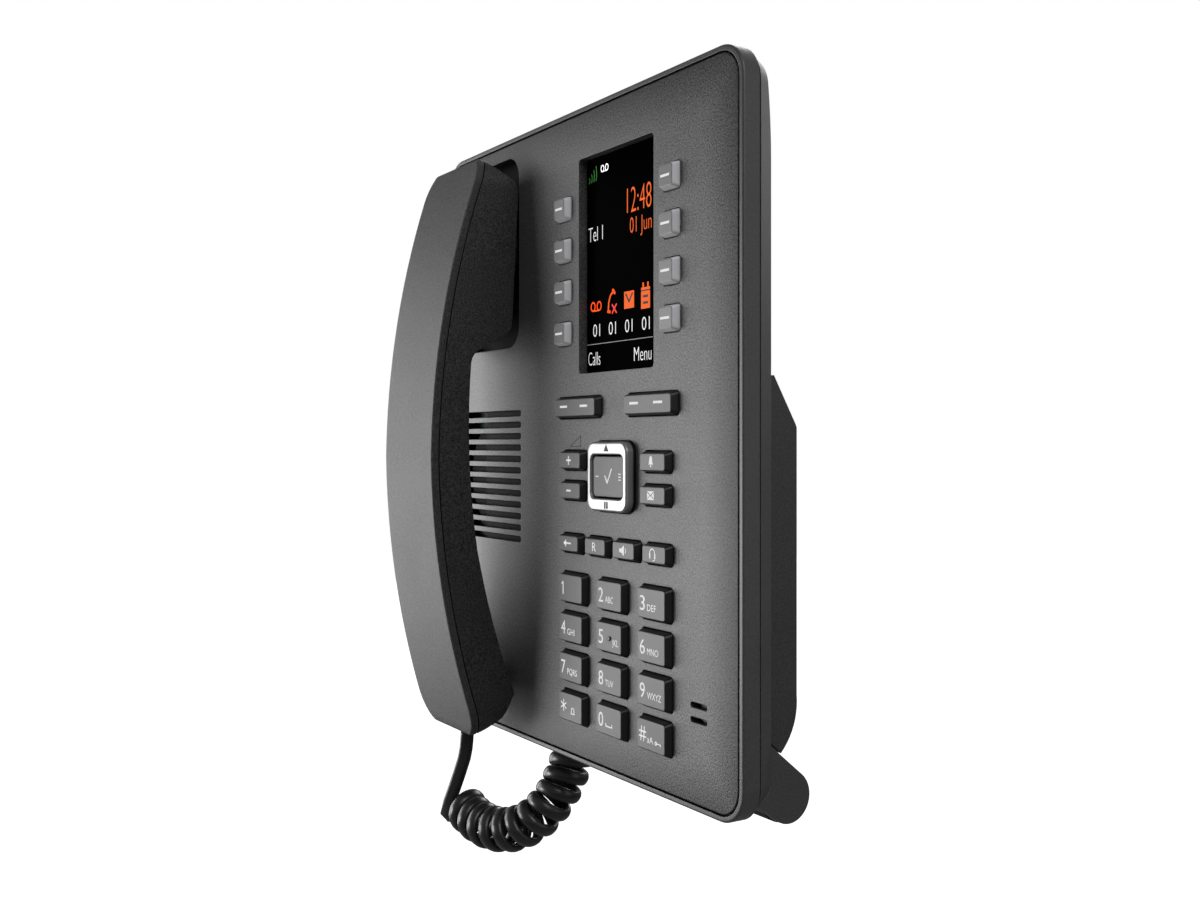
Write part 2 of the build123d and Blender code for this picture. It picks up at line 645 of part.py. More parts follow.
with BuildPart() as nav_pivot:
    add(block(PIVOT_DEPTH - 0.35, PIVOT_DEPTH + 0.35, NAV_CENTRE, PIVOT_FRAME))
    # side pins for the ring, upper and lower pins for the panel's posts
    with BuildSketch(side_plane(NAV_CENTRE[0])):
        with Locations((PIVOT_DEPTH, NAV_CENTRE[1])):
            Circle(PIVOT_PIN)
    extrude(amount=PIVOT_FRAME[0] / 2 + 1.4, both=True)
    with BuildSketch(level_plane(NAV_CENTRE[1])):
        with Locations((NAV_CENTRE[0], PIVOT_DEPTH)):
            Circle(PIVOT_PIN)
    extrude(amount=NAV_SIZE[1] / 2 + 2.9, both=True)
    add(block(-8, 0, NAV_CENTRE, (13.0, 9.0)), mode=Mode.SUBTRACT)
save(nav_pivot.part, "nav_pivot")

with BuildPart() as nav_ok:
    with BuildSketch(face_plane(-3.2)):
        with Locations(NAV_CENTRE):
            RectangleRounded(*OK_KEY, 1.7)
    extrude(amount=OK_TOP + 3.2)
    fillet(nav_ok.faces().sort_by(Axis.Y)[0].edges(), 0.4)
    add(block(-5.2, -3.2, NAV_CENTRE, (8.0, 5.0), 1.0))
save(nav_ok.part, "nav_ok")

# ---------------------------------------------------------------- keypad mat and main board
MAT_TOP = SOFT_KEY_Y + 6
MAT_BOTTOM = -97.0
with BuildPart() as keypad_mat:
    with BuildSketch(face_plane(MAT_FRONT)):
        with Locations((KEYPAD_X, (MAT_TOP + MAT_BOTTOM) / 2)):
            Rectangle(74.0, MAT_TOP - MAT_BOTTOM)
        for side in (-1, 1):
            with Locations((KEYPAD_X + side * 32.0, (MAT_TOP + 84) / 2)):
                Rectangle(10.0, 84 - MAT_TOP)
        with Locations(NAV_CENTRE):
            Rectangle(27.0, 30.0, mode=Mode.SUBTRACT)
    extrude(amount=BOARD_FRONT + FIT - MAT_FRONT)
save(keypad_mat.part, "keypad_mat")

with BuildPart() as main_board:
    with BuildSketch(face_plane(BOARD_FRONT)):
        Rectangle(*BOARD_SIZE)
        with Locations(SPEAKER_CENTRE):
            Circle(SPEAKER_RADIUS + 1.5, mode=Mode.SUBTRACT)
        with Locations(HOOK_CENTRE):
            Rectangle(*grown(HOOK_SIZE, 3.0), mode=Mode.SUBTRACT)
        for side in (-1, 1):
            with Locations((NAV_CENTRE[0] + side * EAR_OFFSET, NAV_CENTRE[1])):
                Rectangle(*grown(NAV_EAR, 1.2), mode=Mode.SUBTRACT)
    extrude(amount=BOARD_BACK - BOARD_FRONT)
    # the header and the small board that carries the connectors
    connector_y = HUMP_BOTTOM + 23
    add(block(JACK_FRONT + 1.7, BOARD_BACK, (0, connector_y + 6), (24.0, 5.0)))
    add(block(JACK_FRONT + FIT, JACK_FRONT + 1.7, (0, connector_y), (76.0, 40.0)))
save(main_board.part, "main_board")

# ---------------------------------------------------------------- speaker and microphone
with BuildPart() as speaker_driver:
    add(drum(PANEL_BACK - 1.8, PANEL_BACK - FIT, SPEAKER_CENTRE, SPEAKER_RADIUS))
    add(drum(PANEL_BACK - 4.0, PANEL_BACK - 1.8, SPEAKER_CENTRE, SPEAKER_RADIUS - 3))
    add(drum(PANEL_BACK - 8.0, PANEL_BACK - 4.0, SPEAKER_CENTRE, SPEAKER_RADIUS - 8))
save(speaker_driver.part, "speaker_driver")

with BuildPart() as base_microphone:
    add(drum(PANEL_BACK - 2.8, PANEL_BACK - FIT, (MIC_X, sum(MIC_ROWS) / 2), 3.0))
save(base_microphone.part, "base_microphone")

# ---------------------------------------------------------------- hook plunger
with BuildPart() as hook_plunger:
    hook_flange = CRADLE_FLOOR - 1.6 - HOOK_TRAVEL - 0.2
    add(block(hook_flange, HOOK_TOP, HOOK_CENTRE, HOOK_SIZE, 0.8))
    fillet(hook_plunger.faces().sort_by(Axis.Y)[0].edges(), 0.5)
    add(block(hook_flange - 1.0, hook_flange, HOOK_CENTRE, grown(HOOK_SIZE, 1.4)))
save(hook_plunger.part, "hook_plunger")


# ---------------------------------------------------------------- connectors
def make_jack(across, width):
    """A connector body standing in the hump, its mouth down."""
    with BuildPart() as jack:
        with BuildSketch(level_plane(HUMP_BOTTOM + SHELL_WALL + FIT)):
            with Locations((across, JACK_MIDDLE)):
                Rectangle(width, JACK_FRONT - JACK_BACK)
        extrude(amount=-JACK_DEPTH)
    return jack.part


with BuildPart() as network_jacks:
    for x in NETWORK_JACK_X:
        add(make_jack(x, NETWORK_JACK_WIDTH))
        with BuildSketch(level_plane(HUMP_BOTTOM)):
            with Locations((x, JACK_MIDDLE - 0.8)):
                Rectangle(*NETWORK_PLUG)
            with Locations((x, JACK_MIDDLE - 0.8 + NETWORK_PLUG[1] / 2)):
                Rectangle(6.2, 3.2)
        extrude(amount=-13.0, mode=Mode.SUBTRACT)
save(network_jacks.part, "network_jacks")

with BuildPart() as handset_jack:
    add(make_jack(HANDSET_JACK_X, HANDSET_JACK_WIDTH))
    with BuildSketch(level_plane(HUMP_BOTTOM)):
        with Locations((HANDSET_JACK_X, JACK_MIDDLE)):
            Rectangle(*HANDSET_PLUG)
    extrude(amount=-13.0, mode=Mode.SUBTRACT)
save(handset_jack.part, "handset_jack")

with BuildPart() as power_jack:
    add(make_jack(POWER_JACK_X, POWER_JACK_WIDTH))
    with BuildSketch(level_plane(HUMP_BOTTOM)):
        with Locations((POWER_JACK_X, JACK_MIDDLE)):
            Circle(POWER_HOLE)
            Circle(POWER_PIN, mode=Mode.SUBTRACT)
    extrude(amount=-12.0, mode=Mode.SUBTRACT)
save(power_jack.part, "power_jack")


# ---------------------------------------------------------------- handset
def handset_side(inset=0.0):
    """The handset's profile seen from the side, out of the face against up."""
    with BuildSketch() as sketch:
        with BuildLine():
            upper = ThreePointArc((13.6, 99.6), (26.6, 53.5), (33.2, -8.0))
            lower = ThreePointArc(upper @ 1, (27.9, -61.0), (16.6, -104.6))
            tip = Polyline(lower @ 1, (15.2, -107.9), (5.5, -100.6), (1.2, -92.4))
            mouth = ThreePointArc(tip @ 1, (8.9, -68.4), (15.5, -40.2))
            palm = ThreePointArc(mouth @ 1, (18.6, -5.0), (17.6, 28.9))
            Polyline(palm @ 1, (1.8, 37.3), (-0.6, 89.0), (0.9, 91.7), upper @ 0)
        make_face()
        corners = sketch.vertices()
        fillet(corners.sort_by_distance((17.6, 28.9))[0], 6.0)
        fillet(sketch.vertices().sort_by_distance((1.8, 37.3))[0], 6.5)
        fillet(sketch.vertices().sort_by_distance((15.2, -107.9))[0], 1.5)
        fillet(sketch.vertices().sort_by_distance((13.6, 99.6))[0], 1.5)
        if inset:
            offset(amount=-inset, kind=Kind.INTERSECTION, mode=Mode.REPLACE)
    return sketch.sketch


def handset_plan(inset=0.0):
    """The handset's outline seen from the front, with its slight waist."""
    half = HANDSET_WIDTH / 2 - inset
    top = HANDSET_TOP - inset
    bottom = HANDSET_BOTTOM + inset
    waist = half - HANDSET_WAIST
    centre_y = (top + bottom) / 2
    with BuildSketch() as sketch:
        with BuildLine():
            right = ThreePointArc(
                (HANDSET_X + half, bottom), (HANDSET_X + waist, centre_y), (HANDSET_X + half, top)
            )
            left = ThreePointArc(
                (HANDSET_X - half, top), (HANDSET_X - waist, centre_y), (HANDSET_X - half, bottom)
            )
            Line(right @ 1, left @ 0)
            Line(left @ 1, right @ 0)
        make_face()
        fillet(sketch.vertices(), HANDSET_CORNER - inset)
    return sketch.sketch


def handset_form(inset=0.0):
    """The handset's whole solid form, or the same form shrunk on every side."""
    with BuildPart() as made:
        with BuildSketch(side_plane(HANDSET_X)):
            add(handset_side(inset))
        extrude(amount=HANDSET_WIDTH, both=True)
        with BuildSketch(face_plane(-20)):
            add(handset_plan(inset))
        extrude(amount=80, mode=Mode.INTERSECT)
    return made.part


def above_split(lowered):
    """Everything in front of the shells' parting surface, which follows the handset's front."""
    with BuildPart() as made:
        with BuildSketch(side_plane(HANDSET_X)):
            with BuildLine():
                drop = HANDSET_RIM + lowered
                upper = ThreePointArc((13.6 - drop, 99.6), (26.6 - drop, 53.5), (33.2 - drop, -8.0))
                lower = ThreePointArc(upper @ 1, (27.9 - drop, -61.0), (16.6 - drop, -104.6))
                Polyline(
                    lower @ 1,
                    (14.6 - drop, -112),
                    (60, -112),
                    (60, 108),
                    (11.2 - drop, 108),
                    upper @ 0,
                )
            make_face()
        extrude(amount=HANDSET_WIDTH, both=True)
    return made.part


HANDSET_OUTSIDE = handset_form()
HANDSET_HOLLOW = handset_form(HANDSET_WALL)
HANDSET_GROOVE_CORE = handset_form(0.8)
HANDSET_FRONT_SPACE = above_split(0)
HANDSET_GROOVE_SPACE = above_split(HANDSET_GROOVE)

with BuildPart() as handset_outer_shell:
    add(HANDSET_OUTSIDE)
    add(HANDSET_FRONT_SPACE, mode=Mode.INTERSECT)
    add(HANDSET_HOLLOW, mode=Mode.SUBTRACT)
save(handset_outer_shell.part, "handset_outer_shell")

with BuildPart() as groove_band:
    add(HANDSET_OUTSIDE)
    add(HANDSET_GROOVE_SPACE, mode=Mode.INTERSECT)
    add(HANDSET_FRONT_SPACE, mode=Mode.SUBTRACT)
    add(HANDSET_GROOVE_CORE, mode=Mode.SUBTRACT)

with BuildPart() as handset_inner_shell:
    add(HANDSET_OUTSIDE)
    add(drum(-2.6, 5, (HANDSET_X, EARPIECE_Y), EARPIECE_RADIUS))
    add(HANDSET_FRONT_SPACE, mode=Mode.SUBTRACT)
    add(groove_band.part, mode=Mode.SUBTRACT)
    add(HANDSET_HOLLOW, mode=Mode.SUBTRACT)
    # sound holes over the earpiece and the mouthpiece
    for y in (EARPIECE_Y, MOUTHPIECE_Y):
        with BuildSketch(face_plane(-5)):
            with Locations((HANDSET_X, y)):
                with PolarLocations(5.0, 6):
                    Circle(1.0)
                Circle(1.0)
        extrude(amount=15, mode=Mode.SUBTRACT)
    # the cord plug's tunnel through the mouth end
    add(block(6.0, 13.0, (HANDSET_X, -100.0), (8.1, 24.0)), mode=Mode.SUBTRACT)
save(handset_inner_shell.part, "handset_inner_shell")

with BuildPart() as earpiece_capsule:
    add(drum(3.4, 8.4, (HANDSET_X, EARPIECE_Y), 14.0))
    add(drum(8.4, 10.0, (HANDSET_X, EARPIECE_Y), 8.0))
save(earpiece_capsule.part, "earpiece_capsule")

with BuildPart() as handset_microphone:
    add(drum(10.4, 14.8, (HANDSET_X, MOUTHPIECE_Y), 4.8))
save(handset_microphone.part, "handset_microphone")

with BuildPart() as handset_weight:
    add(block(21.2, 27.2, (HANDSET_X, -4.0), (18.0, 66.0), 1.5))
save(handset_weight.part, "handset_weight")

# ---------------------------------------------------------------- handset cord and its plugs
HANDSET_PLUG_DEPTH = 9.5
HANDSET_PLUG_END = -108.5
with BuildPart() as cord_plug_handset:
    add(block(6.25, 12.75, (HANDSET_X, -96.5), (7.65, 13.0)))
    with BuildSketch(level_plane(-102.0)):
        with Locations((HANDSET_X, HANDSET_PLUG_DEPTH)):
            Circle(2.9)
    with BuildSketch(level_plane(HANDSET_PLUG_END)):
        with Locations((HANDSET_X, HANDSET_PLUG_DEPTH)):
            Circle(2.2)
    loft()
save(cord_plug_handset.part, "cord_plug_handset")

BASE_PLUG_TOP = HUMP_BOTTOM + 12
BASE_PLUG_END = HUMP_BOTTOM - 9
with BuildPart() as cord_plug_base:
    with BuildSketch(level_plane(BASE_PLUG_TOP)):
        with Locations((HANDSET_JACK_X, JACK_MIDDLE)):
            Rectangle(HANDSET_PLUG[0] - 2 * PLUG_CLEARANCE, HANDSET_PLUG[1] - 2 * PLUG_CLEARANCE)
    extrude(amount=13.0)
    with BuildSketch(level_plane(BASE_PLUG_TOP - 13.0)):
        with Locations((HANDSET_JACK_X, JACK_MIDDLE)):
            Circle(2.9)
    with BuildSketch(level_plane(BASE_PLUG_END)):
        with Locations((HANDSET_JACK_X, JACK_MIDDLE)):
            Circle(2.2)
    loft()
save(cord_plug_base.part, "cord_plug_base")


def place(across, up, out):
    """A point given across, up and out of the face."""
    return Vector(across, -WALL_GAP - out, FACE_CENTRE_Z + up)


def tube(points, radius, ends):
    """A round cord through the given points, starting and ending in the given directions."""
    with BuildPart() as made:
        with BuildLine() as path:
            Spline(*points, tangents=ends)
        with BuildSketch(Plane(origin=path.line @ 0, z_dir=path.line % 0)):
            Circle(radius)
        sweep()
    return made.part


COIL_PATH = [
    place(-66.3, -138.3, 7.0),
    place(-58.0, -141.2, 6.5),
    place(-47.0, -142.4, 5.0),
    place(-37.0, -141.0, 1.5),
    place(-29.5, -136.0, -4.0),
    place(-25.8, -128.0, -10.0),
    place(-25.4, -119.0, -15.0),
    place(-25.7, -111.0, -18.0),
]
UPPER_LEAD = [
    place(HANDSET_X, HANDSET_PLUG_END - 0.3, HANDSET_PLUG_DEPTH),
    place(HANDSET_X - 4.0, -118.0, 9.0),
    place(-66.5, -128.0, 8.6),
    place(-67.8, -135.0, 8.4),
    place(-64.0, -138.8, 6.9),
]
LOWER_LEAD = [
    place(-25.7, -112.5, -17.5),
    place(-26.1, -104.0, -18.8),
    place(-27.4, -90.0, JACK_MIDDLE),
    place(HANDSET_JACK_X, BASE_PLUG_END - FIT, JACK_MIDDLE),
]
with BuildPart() as coil_cord:
    add(tube(COIL_PATH, COIL_RADIUS, [(1, 0, -0.35), (0, 0.35, 1)]))
    add(tube(UPPER_LEAD, CORD_RADIUS, [(0, 0, -1), (1, 0, -0.5)]))
    add(tube(LOWER_LEAD, CORD_RADIUS, [(0, 0.3, 1), (0, 0, 1)]))
save(coil_cord.part, "coil_cord")
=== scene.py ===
import json
import math

import bmesh
import bpy
from mathutils import Matrix, Vector


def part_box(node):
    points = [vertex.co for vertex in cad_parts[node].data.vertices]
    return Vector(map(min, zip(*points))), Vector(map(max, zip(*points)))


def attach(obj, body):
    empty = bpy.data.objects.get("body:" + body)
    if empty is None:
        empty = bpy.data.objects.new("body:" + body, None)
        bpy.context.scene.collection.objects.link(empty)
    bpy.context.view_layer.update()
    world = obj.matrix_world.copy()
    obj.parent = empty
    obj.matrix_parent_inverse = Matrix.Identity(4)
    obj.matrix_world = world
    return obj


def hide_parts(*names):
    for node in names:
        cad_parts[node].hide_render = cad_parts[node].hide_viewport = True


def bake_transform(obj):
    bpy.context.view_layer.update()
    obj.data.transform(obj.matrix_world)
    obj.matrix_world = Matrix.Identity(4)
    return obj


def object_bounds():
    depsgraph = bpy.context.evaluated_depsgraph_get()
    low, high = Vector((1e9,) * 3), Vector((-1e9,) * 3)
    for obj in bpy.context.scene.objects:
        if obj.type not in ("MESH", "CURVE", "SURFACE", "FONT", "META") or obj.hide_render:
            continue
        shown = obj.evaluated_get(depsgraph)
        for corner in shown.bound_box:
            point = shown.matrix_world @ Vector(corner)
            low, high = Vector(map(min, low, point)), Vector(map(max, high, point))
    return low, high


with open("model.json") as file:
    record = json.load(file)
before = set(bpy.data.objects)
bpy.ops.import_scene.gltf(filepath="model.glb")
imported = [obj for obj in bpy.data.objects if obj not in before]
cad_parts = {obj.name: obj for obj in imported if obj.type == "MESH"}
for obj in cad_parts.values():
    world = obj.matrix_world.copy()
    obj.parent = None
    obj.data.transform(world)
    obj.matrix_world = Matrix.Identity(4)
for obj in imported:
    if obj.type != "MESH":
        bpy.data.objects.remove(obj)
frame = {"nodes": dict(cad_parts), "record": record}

# The looks of an upright desk phone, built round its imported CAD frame. Metres in the frame;
# sizes written as numbers below are millimetres, measured across the front panel, up it and out of it.

MM = 0.001
cad_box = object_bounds()
panel_low, panel_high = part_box("front_panel")
PANEL_MIDDLE = Vector(((panel_low.x + panel_high.x) / 2, panel_low.y, (panel_low.z + panel_high.z) / 2))
# turns (across, up, out) into the frame's (x, y, z)
FACE_TURN = Matrix(((1, 0, 0), (0, 0, -1), (0, 1, 0)))


def at(across, up, out=0.0):
    """A point of the frame, given from the middle of the front panel's face."""
    return PANEL_MIDDLE + FACE_TURN @ Vector((across, up, out)) * MM


def face_middle(node):
    """The middle of a CAD node's front side."""
    low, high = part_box(node)
    return Vector(((low.x + high.x) / 2, low.y, (low.z + high.z) / 2))


# ---------------------------------------------------------------- materials
PLASTIC_TINT = 1.03  # how much bluer than grey the plastics are
METAL_TINT = 1.01
CREVICE = 1.4  # crevices narrower than this get painted shade
PANEL_SHADE_REACH = 15.0  # painted shade darkens the panel within this of its outline
FLANK_START, FLANK_END = 0.9, 0.55  # how far a normal points to the front where a face turns into a flank
NOISE_LOW, NOISE_HIGH = 0.3, 0.7  # most of a noise lies between these


class Shader:
    """A material's node tree with a Principled shader, and short ways to add to it."""

    def __init__(self, name):
        self.material = bpy.data.materials.new(name)
        self.material.use_nodes = True
        self.tree = self.material.node_tree
        self.surface = self.tree.nodes["Principled BSDF"]

    def add(self, kind, **values):
        """A node of a kind; a value may be a number, a colour or another node's output."""
        node = self.tree.nodes.new("ShaderNode" + kind)
        for key, value in values.items():
            self.put(node, key, value)
        return node

    def put(self, node, key, value):
        """Sets or links an input, named in lower case or by number as in0, or sets a property of the node."""
        names = [s.name.replace(" ", "_").lower() for s in node.inputs]
        if key.startswith("in") and key[2:].isdigit():
            socket = node.inputs[int(key[2:])]
        elif key in names:
            socket = node.inputs[names.index(key)]
        else:
            setattr(node, key, value)
            return
        if isinstance(value, bpy.types.NodeSocket):
            self.tree.links.new(value, socket)
        elif socket.type == "VECTOR":
            socket.default_value = value[:3]
        else:
            socket.default_value = value

    def finish(self, **values):
        """The material, with inputs of its Principled shader set."""
        for key, value in values.items():
            self.put(self.surface, key, value)
        return self.material

    def place(self):
        """The point's place in the frame."""
        return self.add("TexCoord").outputs["Object"]

    def noise(self, size, detail=2.0, stretch=(1, 1, 1)):
        """Noise with grains of a size in mm."""
        vector = self.place()
        if stretch != (1, 1, 1):
            vector = self.add("Mapping", vector=vector, scale=stretch).outputs[0]
        return self.add("TexNoise", vector=vector, scale=1 / (size * MM), detail=detail).outputs[0]

    def vary(self, noise, low, high):
        """Noise mapped to low to high."""
        return self.span(noise, low, high, NOISE_LOW, NOISE_HIGH)

    def depth(self, low, high, start, end):
        """low at a height of start mm out of the panel's face, turning into high at end mm."""
        back = self.add("SeparateXYZ", in0=self.place()).outputs["Y"]
        return self.span(back, low, high, PANEL_MIDDLE.y - start * MM, PANEL_MIDDLE.y - end * MM)

    def scaled(self, colour, share):
        """A colour times a share."""
        return self.add("VectorMath", operation="SCALE", in0=colour, in3=share).outputs[0]

    def bumps(self, height, distance, normal=None):
        """The normal, with a height's relief of a distance in mm added to it."""
        node = self.add("Bump", strength=1.0, distance=distance * MM, height=height)
        if normal is not None:
            self.put(node, "normal", normal)
        return node.outputs[0]

    def span(self, value, low, high, start=0.0, end=1.0):
        """A value from start to end, mapped to low to high."""
        node = self.add("MapRange", in0=value, in1=start, in2=end, in3=low, in4=high)
        return node.outputs[0]

    def maths(self, operation, a, b=0.0):
        return self.add("Math", operation=operation, in0=a, in1=b).outputs[0]

    def mix(self, share, a, b):
        """Colour a turning into colour b."""
        node = self.tree.nodes.new("ShaderNodeMix")
        node.data_type = "RGBA"
        for index, value in ((0, share), (6, a), (7, b)):
            if isinstance(value, bpy.types.NodeSocket):
                self.tree.links.new(value, node.inputs[index])
            else:
                node.inputs[index].default_value = value
        return node.outputs[2]

    def soft_edges(self, radius):
        """(the normal with its edges rounded, how near an edge a point is)."""
        rounded = self.add("Bevel", samples=6, radius=radius * MM).outputs[0]
        flat = self.add("NewGeometry").outputs["True Normal"]
        likeness = self.add("VectorMath", operation="DOT_PRODUCT", in0=rounded, in1=flat).outputs["Value"]
        return rounded, self.span(likeness, 1.0, 0.0, 0.80, 0.99)

    def panel_outline_shade(self):
        """A painted shade factor: 0.5 at the front panel's outline, growing to 1.15 inside it."""
        place = self.add("SeparateXYZ", in0=self.place()).outputs
        inside = []
        for axis, low, high, middle in (("X", panel_low.x, panel_high.x, PANEL_MIDDLE.x),
                                        ("Z", panel_low.z, panel_high.z, PANEL_MIDDLE.z)):
            away = self.maths("ABSOLUTE", self.maths("SUBTRACT", place[axis], middle))
            inside.append(self.maths("SUBTRACT", (high - low) / 2, away))
        nearest = self.maths("MINIMUM", inside[0], inside[1])
        return self.span(nearest, 0.5, 1.15, 0.0, PANEL_SHADE_REACH * MM)

    def facing_front(self):
        """1 on surfaces that face the user and 0 on the flanks."""
        normal = self.add("TexCoord").outputs["Normal"]
        out = self.add("SeparateXYZ", in0=normal).outputs["Y"]
        return self.span(out, 1.0, 0.0, -FLANK_START, -FLANK_END)


def grey(value, tint=1.0):
    """A grey, its blue scaled by a tint."""
    return (value, value, value * tint, 1.0)


def plastic(name, value, roughness=0.5, grain=0.45, relief=0.02, mottle=0.3, edge=0.35, rounding=0.3,
            specular=0.5, flank=None, panel=False):
    """Moulded plastic with a spark-eroded grain and patchy sheen; its edges are lighter, partly from wear and
    partly as a painted highlight.
    A flank may take a painted tone, darker or lighter than the face, for how light falls on it. A panel's
    face gets painted shade towards its outline, the floors sunk under it are painted black as shade, and
    crevices get painted shade."""
    s = Shader(name)
    fine = s.noise(grain, 3.0)
    patches = s.noise(22.0, 2.0)
    rounded, edges = s.soft_edges(rounding)
    base = grey(value, PLASTIC_TINT)
    # painted tone on flanks, standing in for how light falls on them: darker on the keys and handset, lighter
    # on the line keys
    if flank is not None:
        base = s.mix(s.facing_front(), grey(flank, PLASTIC_TINT), base)
    # painted shade: front-facing floors sunk from 0.5 mm, fully from 1.1 mm, under the panel's face are
    # painted near black and lose their sheen
    if panel:
        sunk_floor_shade = s.maths("MULTIPLY", s.depth(0.0, 1.0, -0.5, -1.1), s.facing_front())
        base = s.mix(sunk_floor_shade, base, grey(0.004))
        specular = s.span(sunk_floor_shade, specular, 0.02)
    grain_and_shade = s.vary(fine, 1.0 - mottle, 1.0 + mottle)
    # painted shade darkening the panel's face towards its outline, and painted light lifting its middle; both
    # scale colour and sheen with the grain
    if panel:
        grain_and_shade = s.maths("MULTIPLY", grain_and_shade, s.panel_outline_shade())
    # painted shade in crevices: ambient occlusion darkens colour and sheen where surfaces close in
    crevice_shade = s.add("AmbientOcclusion", samples=4, distance=CREVICE * MM).outputs["AO"]
    grain_and_shade = s.maths("MULTIPLY", grain_and_shade, s.span(crevice_shade, 0.25, 1.0, 0.35, 0.85))
    specular = s.maths("MULTIPLY", grain_and_shade, specular)
    shaded = s.scaled(base, s.maths("MULTIPLY", grain_and_shade, s.vary(patches, 0.94, 1.06)))
    # edges lighter: partly wear and partly a painted highlight
    wear_and_highlight_grey = grey(min(1.0, value * 2.8 + 0.03), PLASTIC_TINT)
    wear_and_highlight = s.mix(s.maths("MULTIPLY", edges, edge), shaded, wear_and_highlight_grey)
    gloss = s.span(patches, roughness - 0.03, roughness + 0.03)
    gloss = s.maths("ADD", s.vary(fine, -0.06, 0.06), gloss)
    return s.finish(base_color=wear_and_highlight, roughness=gloss, normal=s.bumps(fine, relief, rounded),
                    specular_ior_level=specular)


def metal(name, value, roughness=0.22, brush=(1, 1, 1), relief=0.004, rounding=0.25, sunk=None):
    """Plated or brushed metal with fine scratches and a painted highlight along its edges. A piece sunk into
    the panel gets painted shade up to the height it is sunk to, and its flanks are made less metallic as a
    painted tone for how light falls on them."""
    s = Shader(name)
    scratches = s.noise(0.25, 4.0, brush)
    patches = s.noise(9.0, 3.0)
    rounded, edges = s.soft_edges(rounding)
    colour = s.scaled(grey(value, METAL_TINT), s.vary(scratches, 0.93, 1.04))
    # painted highlight: edges mixed towards a lighter grey
    painted_light_colour = s.mix(s.maths("MULTIPLY", edges, 0.4), colour, grey(min(1.0, value * 1.25)))
    shine = 1.0
    if sunk is not None:
        # painted tone: flanks less metallic; painted shade: dark below the sunk height
        shine = s.span(s.facing_front(), 0.45, 1.0)
        painted_light_colour = s.mix(s.depth(0.0, 1.0, sunk + 0.5, sunk), painted_light_colour, grey(0.02))
    gloss = s.span(patches, roughness - 0.04, roughness + 0.04)
    gloss = s.maths("ADD", s.vary(scratches, -0.05, 0.07), gloss)
    return s.finish(base_color=painted_light_colour, roughness=gloss, metallic=shine,
                    normal=s.bumps(scratches, relief, rounded))


def smooth_black(name, value, roughness, specular, smudge=0.1):
    """Gloss plastic or coated glass with faint smudges."""
    s = Shader(name)
    smudges = s.noise(6.0, 4.0)
    dust = s.noise(0.5, 2.0)
    gloss = s.span(smudges, roughness, roughness + smudge, 0.35, 0.7)
    colour = s.mix(s.span(dust, 0.0, 0.12, 0.55, 0.8), grey(value), grey(value * 1.8 + 0.002))
    return s.finish(base_color=colour, roughness=gloss, normal=s.bumps(dust, 0.003),
                    specular_ior_level=specular)


def ink(name, colour, glow=0.0):
    """Printed ink, or a lit part of the display when it glows; a glow on printed ink is painted light."""
    s = Shader(name)
    cover = s.noise(0.18, 2.0)
    dull = tuple(0.82 * c for c in colour[:3]) + (1.0,)
    shade = s.mix(s.span(cover, 0.0, 1.0, 0.35, 0.6), dull, colour)
    if glow:
        s.finish(emission_color=shade, emission_strength=glow, specular_ior_level=0.1)
    return s.finish(base_color=shade, roughness=s.span(cover, 0.5, 0.7), normal=s.bumps(cover, 0.006))


def circuit_board(name):
    """Green solder mask with faint tracks."""
    s = Shader(name)
    tracks = s.add("TexBrick", vector=s.place(), scale=180.0, mortar_size=0.02).outputs["Fac"]
    fine = s.noise(0.6, 3.0)
    colour = s.mix(s.maths("MULTIPLY", tracks, 0.5), (0.003, 0.022, 0.008, 1), (0.008, 0.045, 0.018, 1))
    return s.finish(base_color=colour, roughness=s.span(fine, 0.25, 0.4), normal=s.bumps(tracks, 0.03))


